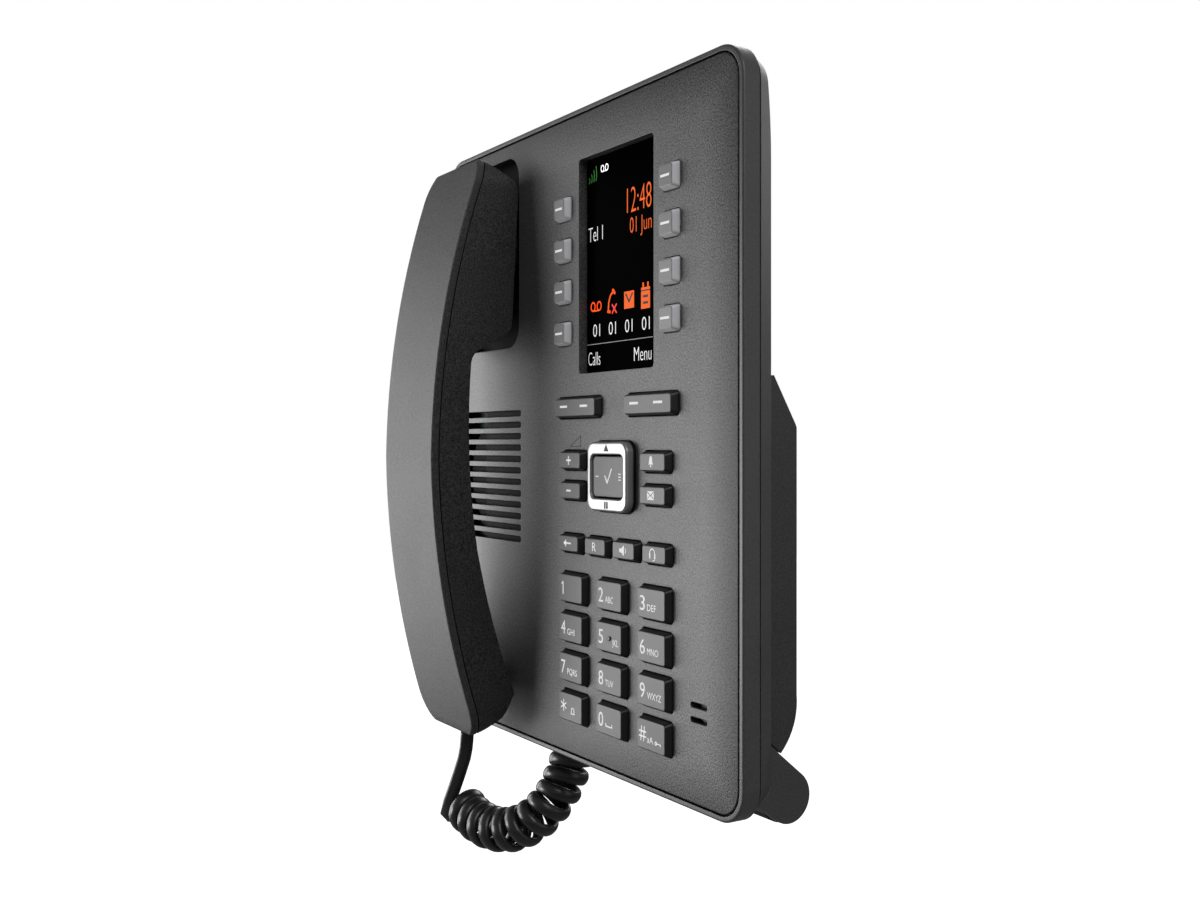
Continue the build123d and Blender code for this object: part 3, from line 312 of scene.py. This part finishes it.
MATERIALS = {
    "front_plastic": plastic("front_plastic", 0.050, 0.46, grain=0.55, relief=0.09, mottle=0.55, panel=True),
    "rim_plastic": plastic("rim_plastic", 0.055, 0.40, grain=0.35, relief=0.010, mottle=0.18, edge=0.6),
    "rear_plastic": plastic("rear_plastic", 0.050, 0.50, grain=0.6, relief=0.020, mottle=0.2),
    "foot_plastic": plastic("foot_plastic", 0.045, 0.50, grain=0.5, relief=0.015, mottle=0.2),
    "stand_plastic": plastic("stand_plastic", 0.030, 0.50, grain=0.6, relief=0.020, mottle=0.2),
    # the flank tones below are painted shade and painted light for how light falls on the sides of the
    # handset and keys
    "handset_plastic": plastic("handset_plastic", 0.046, 0.58, grain=0.55, relief=0.07, mottle=0.5, edge=0.5,
                               rounding=0.9, flank=0.026),
    # a darker copy of the handset plastic for its inner shell: painted shade on the side that faces away from
    # the light
    "handset_inner": plastic("handset_inner", 0.020, 0.48, grain=0.55, relief=0.07, mottle=0.6),
    "inner_plastic": plastic("inner_plastic", 0.020, 0.50, grain=0.5, relief=0.010, mottle=0.2),
    "key_plastic": plastic("key_plastic", 0.062, 0.42, grain=0.3, relief=0.006, mottle=0.12, edge=0.2,
                           flank=0.012),
    "line_key_plastic": plastic("line_key_plastic", 0.15, 0.38, grain=0.3, relief=0.004, mottle=0.08,
                                edge=0.5, flank=0.75),
    "nav_metal": metal("nav_metal", 0.34, 0.36, brush=(4, 1, 1), relief=0.008, rounding=0.5, sunk=0.5),
    "window": smooth_black("window", 0.001, 0.10, 0.0005),
    "screen": smooth_black("screen", 0.004, 0.15, 0.3),
    "board": circuit_board("board"),
    "silicone": plastic("silicone", 0.012, 0.55, grain=0.8, relief=0.01, mottle=0.1),
    "driver_metal": plastic("driver_metal", 0.006, 0.7, grain=0.3, relief=0.01, mottle=0.2, specular=0.08),
    "capsule_metal": metal("capsule_metal", 0.06, 0.5),
    "connector_plastic": plastic("connector_plastic", 0.02, 0.35, grain=0.4, relief=0.004, mottle=0.1),
    "cord_plastic": smooth_black("cord_plastic", 0.018, 0.26, 0.5, smudge=0.12),
    "plug_plastic": smooth_black("plug_plastic", 0.05, 0.25, 0.5),
    "rubber": plastic("rubber", 0.018, 0.75, grain=0.7, relief=0.03, mottle=0.2, specular=0.3),
    "steel": metal("steel", 0.52, 0.32, brush=(1, 6, 1)),
}
# the key legends' ink glows faintly: painted light, as the ink is no lamp
LEGEND_GLOW_INK = ink("white_ink", (0.92, 0.93, 0.94, 1), 0.25)
DARK_INK = ink("dark_ink", (0.012, 0.012, 0.013, 1))
UI_WHITE = ink("ui_white", (0.80, 0.80, 0.80, 1), 0.7)
UI_GREY = ink("ui_grey", (0.30, 0.30, 0.30, 1), 0.5)
UI_ORANGE = ink("ui_orange", (0.75, 0.11, 0.015, 1), 0.75)
UI_GREEN = ink("ui_green", (0.04, 0.22, 0.04, 1), 0.5)
UI_RED = ink("ui_red", (0.75, 0.06, 0.05, 1), 0.8)
UI_BLACK = ink("ui_black", (0.004, 0.004, 0.004, 1))

slots = {part["node"]: part["material_slot"] for part in frame["record"]["subparts"]}
# the inner shell takes the darker handset copy: painted shade
slots["handset_inner_shell"] = "handset_inner"
for node_name, piece in frame["nodes"].items():
    piece.data.materials.clear()
    piece.data.materials.append(MATERIALS[slots[node_name]])


# ---------------------------------------------------------------- printed marks
def word_mesh(words, rise, weight=0.0):
    """The letters of a word as a closed thin mesh; a weight below 0 thins their strokes."""
    curve = bpy.data.curves.new("words", "FONT")
    curve.body = words
    curve.extrude = rise
    curve.offset = weight
    curve.resolution_u = 4
    holder = bpy.data.objects.new("words", curve)
    bpy.context.scene.collection.objects.link(holder)
    bpy.context.view_layer.update()
    mesh = bpy.data.meshes.new_from_object(holder.evaluated_get(bpy.context.evaluated_depsgraph_get()))
    bpy.data.objects.remove(holder)
    bpy.data.curves.remove(curve)
    return mesh


def extent(mesh, axis):
    """(lowest, highest) value of a mesh along an axis."""
    values = [v.co[axis] for v in mesh.vertices]
    return min(values), max(values)


CAP_HEIGHT = extent(word_mesh("H", 0.1), 1)[1]


DISC_SIDES = 20


class Marks:
    """Thin raised marks on one flat face, in mm across and up from a point of it."""

    def __init__(self, middle, rise=0.03, weight=0.0):
        self.middle = middle
        self.rise = rise
        self.weight = weight
        self.bm = bmesh.new()

    def shape(self, outline, lift=0.0):
        """A closed outline, given counter-clockwise."""
        back = [self.bm.verts.new((x, y, -self.rise)) for x, y in outline]
        front = [self.bm.verts.new((x, y, self.rise + lift)) for x, y in outline]
        self.bm.faces.new(back[::-1])
        self.bm.faces.new(front)
        count = len(outline)
        for i in range(count):
            j = (i + 1) % count
            self.bm.faces.new((back[i], back[j], front[j], front[i]))

    def bar(self, x, y, width, height, lift=0.0):
        """A rectangle round a middle."""
        w, h = width / 2, height / 2
        self.shape([(x - w, y - h), (x + w, y - h), (x + w, y + h), (x - w, y + h)], lift)

    def disc(self, x, y, radius, lift=0.0):
        turns = [2 * math.pi * i / DISC_SIDES for i in range(DISC_SIDES)]
        self.shape([(x + radius * math.cos(t), y + radius * math.sin(t)) for t in turns], lift)

    def stroke(self, points, width, lift=0.0):
        """A line of a width through points, with round joints."""
        for (x0, y0), (x1, y1) in zip(points, points[1:]):
            length = math.hypot(x1 - x0, y1 - y0)
            sx, sy = -(y1 - y0) / length * width / 2, (x1 - x0) / length * width / 2
            corners = [(x0 - sx, y0 - sy), (x1 - sx, y1 - sy), (x1 + sx, y1 + sy), (x0 + sx, y0 + sy)]
            self.shape(corners, lift)
        for x, y in points:
            self.disc(x, y, width / 2, lift=lift)

    def arc(self, x, y, radius, start, end, width, tall=1.0, lift=0.0):
        """Part of a ring, between two angles in degrees; tall stretches it upwards."""
        steps = max(4, round(abs(end - start) / 20))
        turns = [math.radians(start + (end - start) * i / steps) for i in range(steps + 1)]
        self.stroke([(x + radius * math.cos(t), y + radius * tall * math.sin(t)) for t in turns], width, lift)

    def words(self, text, left, base, height, width):
        """Words fitted between left and left + width, their capitals of a height."""
        mesh = word_mesh(text, 1.0, self.weight)
        low, high = extent(mesh, 0)
        wide = width / (high - low)
        mesh.transform(Matrix.Diagonal((wide, height / CAP_HEIGHT, self.rise, 1)))
        mesh.transform(Matrix.Translation((left - low * wide, base, 0)))
        self.bm.from_mesh(mesh)
        bpy.data.meshes.remove(mesh)

    def make(self, name, material, body):
        """The finished piece, riding on a CAD body."""
        bmesh.ops.remove_doubles(self.bm, verts=self.bm.verts, dist=1e-5)
        mesh = bpy.data.meshes.new(name)
        self.bm.to_mesh(mesh)
        self.bm.free()
        mesh.transform(Matrix.Translation(self.middle) @ (FACE_TURN * MM).to_4x4())
        mesh.materials.append(material)
        piece = bpy.data.objects.new(name, mesh)
        bpy.context.scene.collection.objects.link(piece)
        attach(piece, body)
        return piece


def on_key(node):
    """Marks on a key's face."""
    return Marks(face_middle(node))


def bell(marks, x, y, size):
    """A bell: dome, flared skirt and clapper."""
    outline = [(-0.5, -0.36), (0.5, -0.36), (0.34, -0.1), (0.3, 0.26),
               (0.12, 0.5), (-0.12, 0.5), (-0.3, 0.26), (-0.34, -0.1)]
    marks.shape([(x + size * a * 0.8, y + size * b) for a, b in outline])
    marks.disc(x, y - 0.52 * size, 0.11 * size)


def voicemail(marks, x, y, width, height, line):
    """Two loops joined by a line at the bottom."""
    loop = 0.2 * width
    reach = width / 2 - loop
    for side in (-1, 1):
        marks.arc(x + side * reach, y, loop, 0, 360, line, tall=(height - line) / (2 * loop))
    marks.bar(x, y - height / 2 + line / 2, 2 * reach, line)


# the twelve dialling keys
DIGIT_HEIGHT = 4.4
DIGIT_WIDTH = 2.7
DIGIT_LEFT = -5.8
LETTERS_LEFT = -1.9
LETTERS_HEIGHT = 2.0
LETTER_WIDTH = 1.55
# the letters on key 5 stand right of its raised dot and are narrower
DOT_KEY = "5"
DOT_SHIFT = 4.1
DOT_SQUEEZE = 0.75
BASELINE = -DIGIT_HEIGHT / 2
LETTERS = {"2": "ABC", "3": "DEF", "4": "GHI", "5": "JKL", "6": "MNO", "7": "PQRS", "8": "TUV", "9": "WXYZ"}
KEY_FACE = face_middle("key_2").y


def digit_marks(name):
    """The digit or sign on a dialling key, with its letters."""
    marks = on_key("key_" + name)
    marks.middle.y = KEY_FACE
    if name == "1":
        marks.stroke([(-5.4, 1.3), (-4.6, 2.0), (-4.6, -2.0)], 0.5)
    elif name in "023456789":
        marks.words(name, DIGIT_LEFT, BASELINE, DIGIT_HEIGHT, DIGIT_WIDTH)
    if name in LETTERS:
        group = LETTERS[name]
        wide = {"M": 1.25, "W": 1.18}.get(group[0], 1.0)
        start = LETTERS_LEFT + (DOT_SHIFT if name == DOT_KEY else 0.0)
        width = LETTER_WIDTH * wide * len(group) * (DOT_SQUEEZE if name == DOT_KEY else 1.0)
        marks.words(group, start, BASELINE, LETTERS_HEIGHT, width)
    if name == "0":
        marks.stroke([(-1.5, -0.9), (-1.5, -1.7), (2.0, -1.7), (2.0, -0.9)], 0.4)
    if name == "star":
        for turn in (90, 30, 150):
            dx, dy = math.cos(math.radians(turn)), math.sin(math.radians(turn))
            marks.stroke([(-4.2 - 1.8 * dx, 0.3 - 1.8 * dy), (-4.2 + 1.8 * dx, 0.3 + 1.8 * dy)], 0.42)
        marks.arc(1.6, -0.7, 0.85, -20, 200, 0.34)
        marks.stroke([(0.5, -1.8), (0.85, -1.0), (0.85, -0.6)], 0.34)
        marks.stroke([(2.7, -1.8), (2.35, -1.0), (2.35, -0.6)], 0.34)
        marks.stroke([(0.5, -1.8), (2.7, -1.8)], 0.34)
    if name == "hash":
        for offset in (-0.75, 0.75):
            marks.stroke([(-4.5 + offset, -2.0), (-4.1 + offset, 2.2)], 0.42)
            marks.stroke([(-6.1, offset), (-2.5, offset)], 0.42)
        marks.words("aA", LETTERS_LEFT, BASELINE, LETTERS_HEIGHT, 3.1)
        marks.arc(2.7, -1.6, 0.45, 0, 360, 0.3)
        marks.stroke([(3.2, -1.6), (5.0, -1.6), (5.0, -2.1)], 0.3)
    marks.make("legend_" + name, LEGEND_GLOW_INK, "key_" + name)


for digit in list("1234567890") + ["star", "hash"]:
    digit_marks(digit)


def function_marks():
    """The marks on the function, side, soft and line keys."""
    marks = on_key("key_back")
    marks.stroke([(-2.4, 0.1), (1.6, 0.1)], 0.55)
    marks.shape([(-3.0, 0.1), (-1.2, -1.15), (-1.2, 1.35)])
    marks.make("legend_back", LEGEND_GLOW_INK, "key_back")

    marks = on_key("key_recall")
    marks.words("R", -1.4, -1.4, 2.8, 2.2)
    marks.make("legend_recall", LEGEND_GLOW_INK, "key_recall")

    marks = on_key("key_speaker")
    marks.shape([(-2.0, -0.6), (-0.9, -0.6), (0.6, -1.7), (0.6, 1.7), (-0.9, 0.6), (-2.0, 0.6)])
    marks.arc(0.7, 0.0, 0.9, -50, 50, 0.3)
    marks.make("legend_speaker", LEGEND_GLOW_INK, "key_speaker")

    marks = on_key("key_headset")
    marks.arc(-0.6, 0.2, 1.35, 0, 180, 0.34, tall=1.1)
    for side in (-1, 1):
        marks.bar(-0.6 + side * 1.3, -0.5, 0.65, 1.5)
    marks.stroke([(0.75, -1.1), (0.5, -1.75), (-0.4, -1.85)], 0.28)
    marks.make("legend_headset", LEGEND_GLOW_INK, "key_headset")

    marks = on_key("key_volume_up")
    marks.bar(-0.5, 0, 2.9, 0.6)
    marks.bar(-0.5, 0, 0.6, 2.9)
    marks.make("legend_volume_up", LEGEND_GLOW_INK, "key_volume_up")

    marks = on_key("key_volume_down")
    marks.bar(-0.5, 0, 2.9, 0.65)
    marks.make("legend_volume_down", LEGEND_GLOW_INK, "key_volume_down")

    marks = on_key("key_ringer")
    bell(marks, -0.6, 0.3, 3.0)
    marks.make("legend_ringer", LEGEND_GLOW_INK, "key_ringer")

    marks = on_key("key_messages")
    marks.bar(-0.7, 0, 3.5, 2.6)
    marks.make("legend_messages", LEGEND_GLOW_INK, "key_messages")
    marks = on_key("key_messages")
    marks.stroke([(-2.2, 1.0), (-0.7, -0.15), (0.8, 1.0)], 0.26, lift=0.02)
    marks.stroke([(-2.2, -1.0), (-1.3, -0.2)], 0.2, lift=0.02)
    marks.stroke([(0.8, -1.0), (-0.1, -0.2)], 0.2, lift=0.02)
    marks.make("legend_messages_flap", DARK_INK, "key_messages")

    for side in ("left", "right"):
        node = "soft_key_" + side
        marks = on_key(node)
        for x in (-6.8, 6.0):
            marks.bar(x, 0.35, 4.7, 0.75)
        marks.make("legend_soft_" + side, LEGEND_GLOW_INK, node)
        for row in range(1, 5):
            node = f"line_key_{side}_{row}"
            marks = on_key(node)
            marks.bar(-0.2, 0, 4.5, 0.75)
            marks.make(f"legend_line_{side}_{row}", LEGEND_GLOW_INK, node)


function_marks()


def navigation_marks():
    """Dark marks on the ring's bars, light ones on the centre key."""
    ring_low, ring_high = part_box("nav_ring")
    ok_low, ok_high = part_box("nav_ok")
    ring = face_middle("nav_ring")
    # the middle of the ring's upper and lower bars
    bar_up = ((ring_high.z - ring_low.z) / MM / 2 - 1.0 + (ok_high.z - ok_low.z) / MM / 2) / 2 + 0.2
    marks = Marks(ring)
    marks.shape([(-1.5, bar_up - 1.0), (1.5, bar_up - 1.0), (0.0, bar_up + 1.2)])
    marks.make("nav_mark_up", DARK_INK, "nav_ring")
    marks = Marks(ring)
    marks.bar(-0.7, -bar_up, 0.9, 2.2)
    marks.bar(0.55, -bar_up, 1.0, 2.2)
    marks.make("nav_mark_book", DARK_INK, "nav_ring")
    marks = Marks(face_middle("nav_ok"))
    marks.stroke([(-1.9, 0.2), (-0.6, -2.0), (1.9, 2.4)], 0.5)
    marks.bar(-6.6, 0.0, 1.7, 0.35)
    for y in (-0.9, 0.0, 0.9):
        marks.bar(6.6, y, 1.3, 0.35)
    marks.make("nav_mark_ok", LEGEND_GLOW_INK, "nav_ok")


navigation_marks()


def panel_marks():
    """The thin volume wedge printed over the volume keys."""
    over = face_middle("key_volume_up")
    marks = Marks(Vector((over.x, PANEL_MIDDLE.y, over.z)))
    marks.stroke([(-3.4, 4.6), (3.2, 4.6), (3.2, 8.0), (-3.4, 4.6)], 0.3)
    marks.make("volume_wedge", UI_BLACK, "base")


panel_marks()


# ---------------------------------------------------------------- the display's picture
def display_picture():
    """Time, date, call symbols and soft key words, placed from the lens's visible lower left corner."""
    low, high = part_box("display_lens")
    hidden = 1.3  # the panel covers this much of the lens all round
    corner = Vector((low.x + hidden * MM, low.y, low.z + hidden * MM))
    orange, white = Marks(corner, 0.02, -0.014), Marks(corner, 0.02, -0.014)
    orange.words("12:48", 24.0, 49.4, 7.9, 13.6)
    orange.words("01 Jun", 25.7, 42.9, 4.9, 12.0)
    white.words("Tel 1", 0.9, 43.3, 4.8, 8.8)
    for i in range(4):
        white.words("01", 3.8 + 9.55 * i, 12.0, 4.1, 4.2)
    white.words("Calls", 0.8, 2.7, 4.4, 7.4)
    white.words("Menu", 28.0, 2.7, 4.4, 9.6)
    voicemail(white, 10.8, 66.3, 4.3, 2.4, 0.36)
    voicemail(orange, 5.6, 21.9, 6.2, 3.3, 0.5)
    # a handset and, on its right, a red cross
    orange.stroke([(13.0, 19.6), (13.3, 22.4), (14.3, 24.6), (16.4, 26.0)], 0.7)
    orange.stroke([(12.9, 19.6), (13.9, 19.4)], 1.0)
    orange.stroke([(15.8, 26.2), (16.8, 25.2)], 1.0)
    # a message and a calendar leaf, both with dark lines on them
    orange.bar(25.2, 22.2, 5.6, 5.4)
    orange.bar(34.4, 21.9, 4.9, 6.6)
    for x in (33.1, 35.7):
        orange.bar(x, 26.0, 0.8, 1.4)
    orange.make("display_orange", UI_ORANGE, "base")
    white.make("display_white", UI_WHITE, "base")
    line = Marks(corner, 0.02)
    line.bar(19.2, 9.6, 38.4, 0.22)
    line.make("display_line", UI_GREY, "base")
    red = Marks(corner, 0.02)
    red.stroke([(15.4, 18.9), (17.8, 21.5)], 0.6)
    red.stroke([(15.4, 21.5), (17.8, 18.9)], 0.6)
    red.make("display_red", UI_RED, "base")
    dark = Marks(corner, 0.02)
    dark.stroke([(23.4, 24.0), (25.2, 21.6), (27.0, 24.0)], 0.7, lift=0.02)
    dark.bar(34.4, 24.2, 4.9, 0.4, lift=0.02)
    dark.bar(34.4, 22.4, 2.8, 0.8, lift=0.02)
    dark.bar(34.4, 20.4, 2.8, 0.8, lift=0.02)
    dark.make("display_dark", UI_BLACK, "base")
    green = Marks(corner, 0.02)
    for i in range(4):
        tall = 2.0 + 1.2 * i
        green.arc(0.9 + 1.4 * i, 62.6 + tall / 2, 0.8, -55, 55, 0.42, tall=tall / 1.6)
    green.make("display_green", UI_GREEN, "base")


display_picture()


# ---------------------------------------------------------------- the coiled cord
def smooth_path(points, steps):
    """A Catmull-Rom curve through the points."""
    padded = [2 * points[0] - points[1]] + list(points) + [2 * points[-1] - points[-2]]
    path = []
    for i in range(1, len(padded) - 2):
        a, b, c, d = padded[i - 1: i + 3]
        for k in range(steps):
            t = k / steps
            path.append(0.5 * (2 * b + (c - a) * t + (2 * a - 5 * b + 4 * c - d) * t * t
                               + (3 * b - 3 * c + d - a) * t ** 3))
    path.append(points[-1])
    return path


def along(path, share):
    """(point, direction) at a share of a path's length."""
    lengths = [(b - a).length for a, b in zip(path, path[1:])]
    left = share * sum(lengths)
    for i, length in enumerate(lengths):
        if left <= length or i == len(lengths) - 1:
            step = path[i + 1] - path[i]
            return path[i] + step * min(1.0, left / length), step.normalized()
        left -= length


def ribbon(name, path, faces, width, thickness, sides=16):
    """A closed flat cord along a path; each of its points has the direction its flat side faces."""
    bm = bmesh.new()
    rings = []
    turns = [2 * math.pi * k / sides for k in range(sides)]
    for i, point in enumerate(path):
        ahead = (path[min(i + 1, len(path) - 1)] - path[max(i - 1, 0)]).normalized()
        thin = (faces[i] - ahead * faces[i].dot(ahead)).normalized() * thickness / 2
        wide = ahead.cross(thin).normalized() * width / 2
        rings.append([bm.verts.new(point + thin * math.cos(t) + wide * math.sin(t)) for t in turns])
    for first, second in zip(rings, rings[1:]):
        for k in range(sides):
            n = (k + 1) % sides
            bm.faces.new((first[k], first[n], second[n], second[k])).smooth = True
    bm.faces.new(rings[0][::-1])
    bm.faces.new(rings[-1])
    bmesh.ops.recalc_face_normals(bm, faces=bm.faces)
    mesh = bpy.data.meshes.new(name)
    bm.to_mesh(mesh)
    bm.free()
    piece = bpy.data.objects.new(name, mesh)
    bpy.context.scene.collection.objects.link(piece)
    return piece


CORD_WIDTH = 4.9
CORD_THICKNESS = 3.0
COIL_RADIUS = 8.0
COIL_TURNS = 11.6
STEPS_PER_TURN = 22
COIL_START = -68  # degrees round the axis
COIL_AXIS = [(-66.3, -138.3, 7.0), (-58.0, -141.2, 6.5), (-47.0, -142.4, 5.0), (-37.0, -141.0, 1.5),
             (-29.5, -136.0, -4.0), (-25.8, -128.0, -10.0), (-25.4, -119.0, -15.0), (-25.7, -111.5, -17.8)]
HANDSET_LEAD = [(-59.4, -119.0, 9.8), (-64.4, -130.5, 11.2), (-69.2, -142.0, 12.6)]
BASE_LEAD = [(-26.0, -105.5, -18.6), (-27.2, -94.0, -19.1)]


def coiled_cord():
    """One flat cord: a lead from the handset's plug, the coil, and a lead up to the base's plug."""
    plug_low, plug_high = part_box("cord_plug_handset")
    handset_end = Vector(((plug_low.x + plug_high.x) / 2, (plug_low.y + plug_high.y) / 2, plug_low.z))
    plug_low, plug_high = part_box("cord_plug_base")
    base_end = Vector(((plug_low.x + plug_high.x) / 2, (plug_low.y + plug_high.y) / 2, plug_low.z))
    axis = smooth_path([at(*p) for p in COIL_AXIS], 12)
    reach = (COIL_RADIUS - CORD_THICKNESS / 2) * MM
    sideways, out = Vector((0.9, -0.44, 0)), Vector((0, -1, 0))
    points = [handset_end, handset_end + Vector((-0.5, 0, -4.0)) * MM] + [at(*p) for p in HANDSET_LEAD]
    faces = [sideways, sideways, sideways, sideways, sideways * 0.6 + out * 0.4]
    total = round(COIL_TURNS * STEPS_PER_TURN)
    start = math.radians(COIL_START)
    for i in range(total + 1):
        middle, ahead = along(axis, i / total)
        out = (out - ahead * out.dot(ahead)).normalized()
        up = out.cross(ahead)
        turn = start - 2 * math.pi * i / STEPS_PER_TURN
        # the last turn winds in towards the lead
        size = reach * min(1.0, 0.35 + (total - i) / (0.8 * STEPS_PER_TURN))
        away = out * math.cos(turn) + up * math.sin(turn)
        points.append(middle + away * size)
        faces.append(away)
    points += [at(*p) for p in BASE_LEAD] + [base_end + Vector((0, 0, -4)) * MM, base_end]
    faces += [sideways] * 4
    cord = ribbon("handset_cord", smooth_path(points, 2), smooth_path(faces, 2),
                  CORD_WIDTH * MM, CORD_THICKNESS * MM)
    cord.data.materials.append(MATERIALS["cord_plastic"])
    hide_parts("coil_cord")
    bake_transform(cord)


coiled_cord()


# ---------------------------------------------------------------- stage, light and camera
FLOOR_REACH = 6000
FLOOR_DROP = 600  # the low lamps shine in over the floor


def floor():
    """A pale sheet: the camera sees it nearly white, fading into the backdrop; it throws little light up."""
    size = FLOOR_REACH * MM
    height = cad_box[0].z - FLOOR_DROP * MM
    bm = bmesh.new()
    corners = [bm.verts.new((x * size, y * size, height)) for x, y in ((-1, -1), (1, -1), (1, 1), (-1, 1))]
    bm.faces.new(corners)
    mesh = bpy.data.meshes.new("floor")
    bm.to_mesh(mesh)
    bm.free()
    s = Shader("floor")
    seen = s.add("LightPath").outputs["Is Camera Ray"]
    tone = s.mix(s.noise(300.0), grey(0.90), grey(0.94))
    dim = s.mix(seen, grey(0.25), tone)
    far = s.add("VectorMath", operation="LENGTH", in0=s.place()).outputs["Value"]
    glow = s.maths("MULTIPLY", s.span(far, 0.84, 1.0, 0.35, 1.3), seen)
    mesh.materials.append(s.finish(base_color=dim, roughness=0.9, specular_ior_level=0.0,
                                   emission_color=grey(1.0), emission_strength=glow))
    made = bpy.data.objects.new("floor", mesh)
    bpy.context.scene.collection.objects.link(made)


def lamp(name, azimuth, elevation, distance, size, power):
    """A soft square lamp; azimuth 0 is straight in front of the panel and positive to its right."""
    a, e = math.radians(azimuth), math.radians(elevation)
    away = Vector((math.sin(a) * math.cos(e), -math.cos(a) * math.cos(e), math.sin(e)))
    light = bpy.data.lights.new(name, "AREA")
    light.shape = "SQUARE"
    light.size = size
    light.energy = power
    holder = bpy.data.objects.new(name, light)
    holder.location = PANEL_MIDDLE + away * distance
    holder.rotation_mode = "QUATERNION"
    holder.rotation_quaternion = (-away).to_track_quat("-Z", "Y")
    holder.visible_camera = False
    bpy.context.scene.collection.objects.link(holder)


def studio():
    """Soft lamps round the phone and a backdrop that the camera sees white."""
    lamp("front_lamp", -38, -6, 1.2, 0.35, 5.4)
    lamp("left_lamp", -67, -4, 1.0, 0.75, 6.6)
    lamp("right_lamp", 80, 38, 1.4, 0.9, 8.4)
    lamp("rim_lamp", 112, 12, 1.2, 0.8, 1.2)
    lamp("back_lamp", 205, 30, 1.2, 0.8, 9.0)
    world = bpy.data.worlds.new("studio")
    world.use_nodes = True
    tree = world.node_tree
    background = tree.nodes["Background"]
    path = tree.nodes.new("ShaderNodeLightPath")
    level = tree.nodes.new("ShaderNodeMapRange")
    level.inputs["To Min"].default_value = 0.20
    level.inputs["To Max"].default_value = 1.0
    tree.links.new(path.outputs["Is Camera Ray"], level.inputs["Value"])
    tree.links.new(level.outputs[0], background.inputs["Strength"])
    background.inputs["Color"].default_value = grey(1.0)
    bpy.context.scene.world = world
    bpy.context.scene.view_settings.view_transform = "Standard"


CAMERA_TURN = 58  # degrees round to the phone's right
CAMERA_DISTANCE = 396
CAMERA_AIM = (19.8, -3.15)


def camera():
    """Level with the phone and well round to its right."""
    turn = math.radians(CAMERA_TURN)
    view = bpy.data.cameras.new("camera")
    view.sensor_width = 36
    view.lens = 37.06
    view.shift_y = -5 / 1200
    view.clip_start = 0.01
    holder = bpy.data.objects.new("camera", view)
    away = Vector((math.sin(turn), -math.cos(turn), 0))
    holder.location = at(*CAMERA_AIM) + away * CAMERA_DISTANCE * MM
    holder.rotation_mode = "QUATERNION"
    holder.rotation_quaternion = (-away).to_track_quat("-Z", "Y")
    bpy.context.scene.collection.objects.link(holder)
    bpy.context.scene.camera = holder


floor()
studio()
camera()
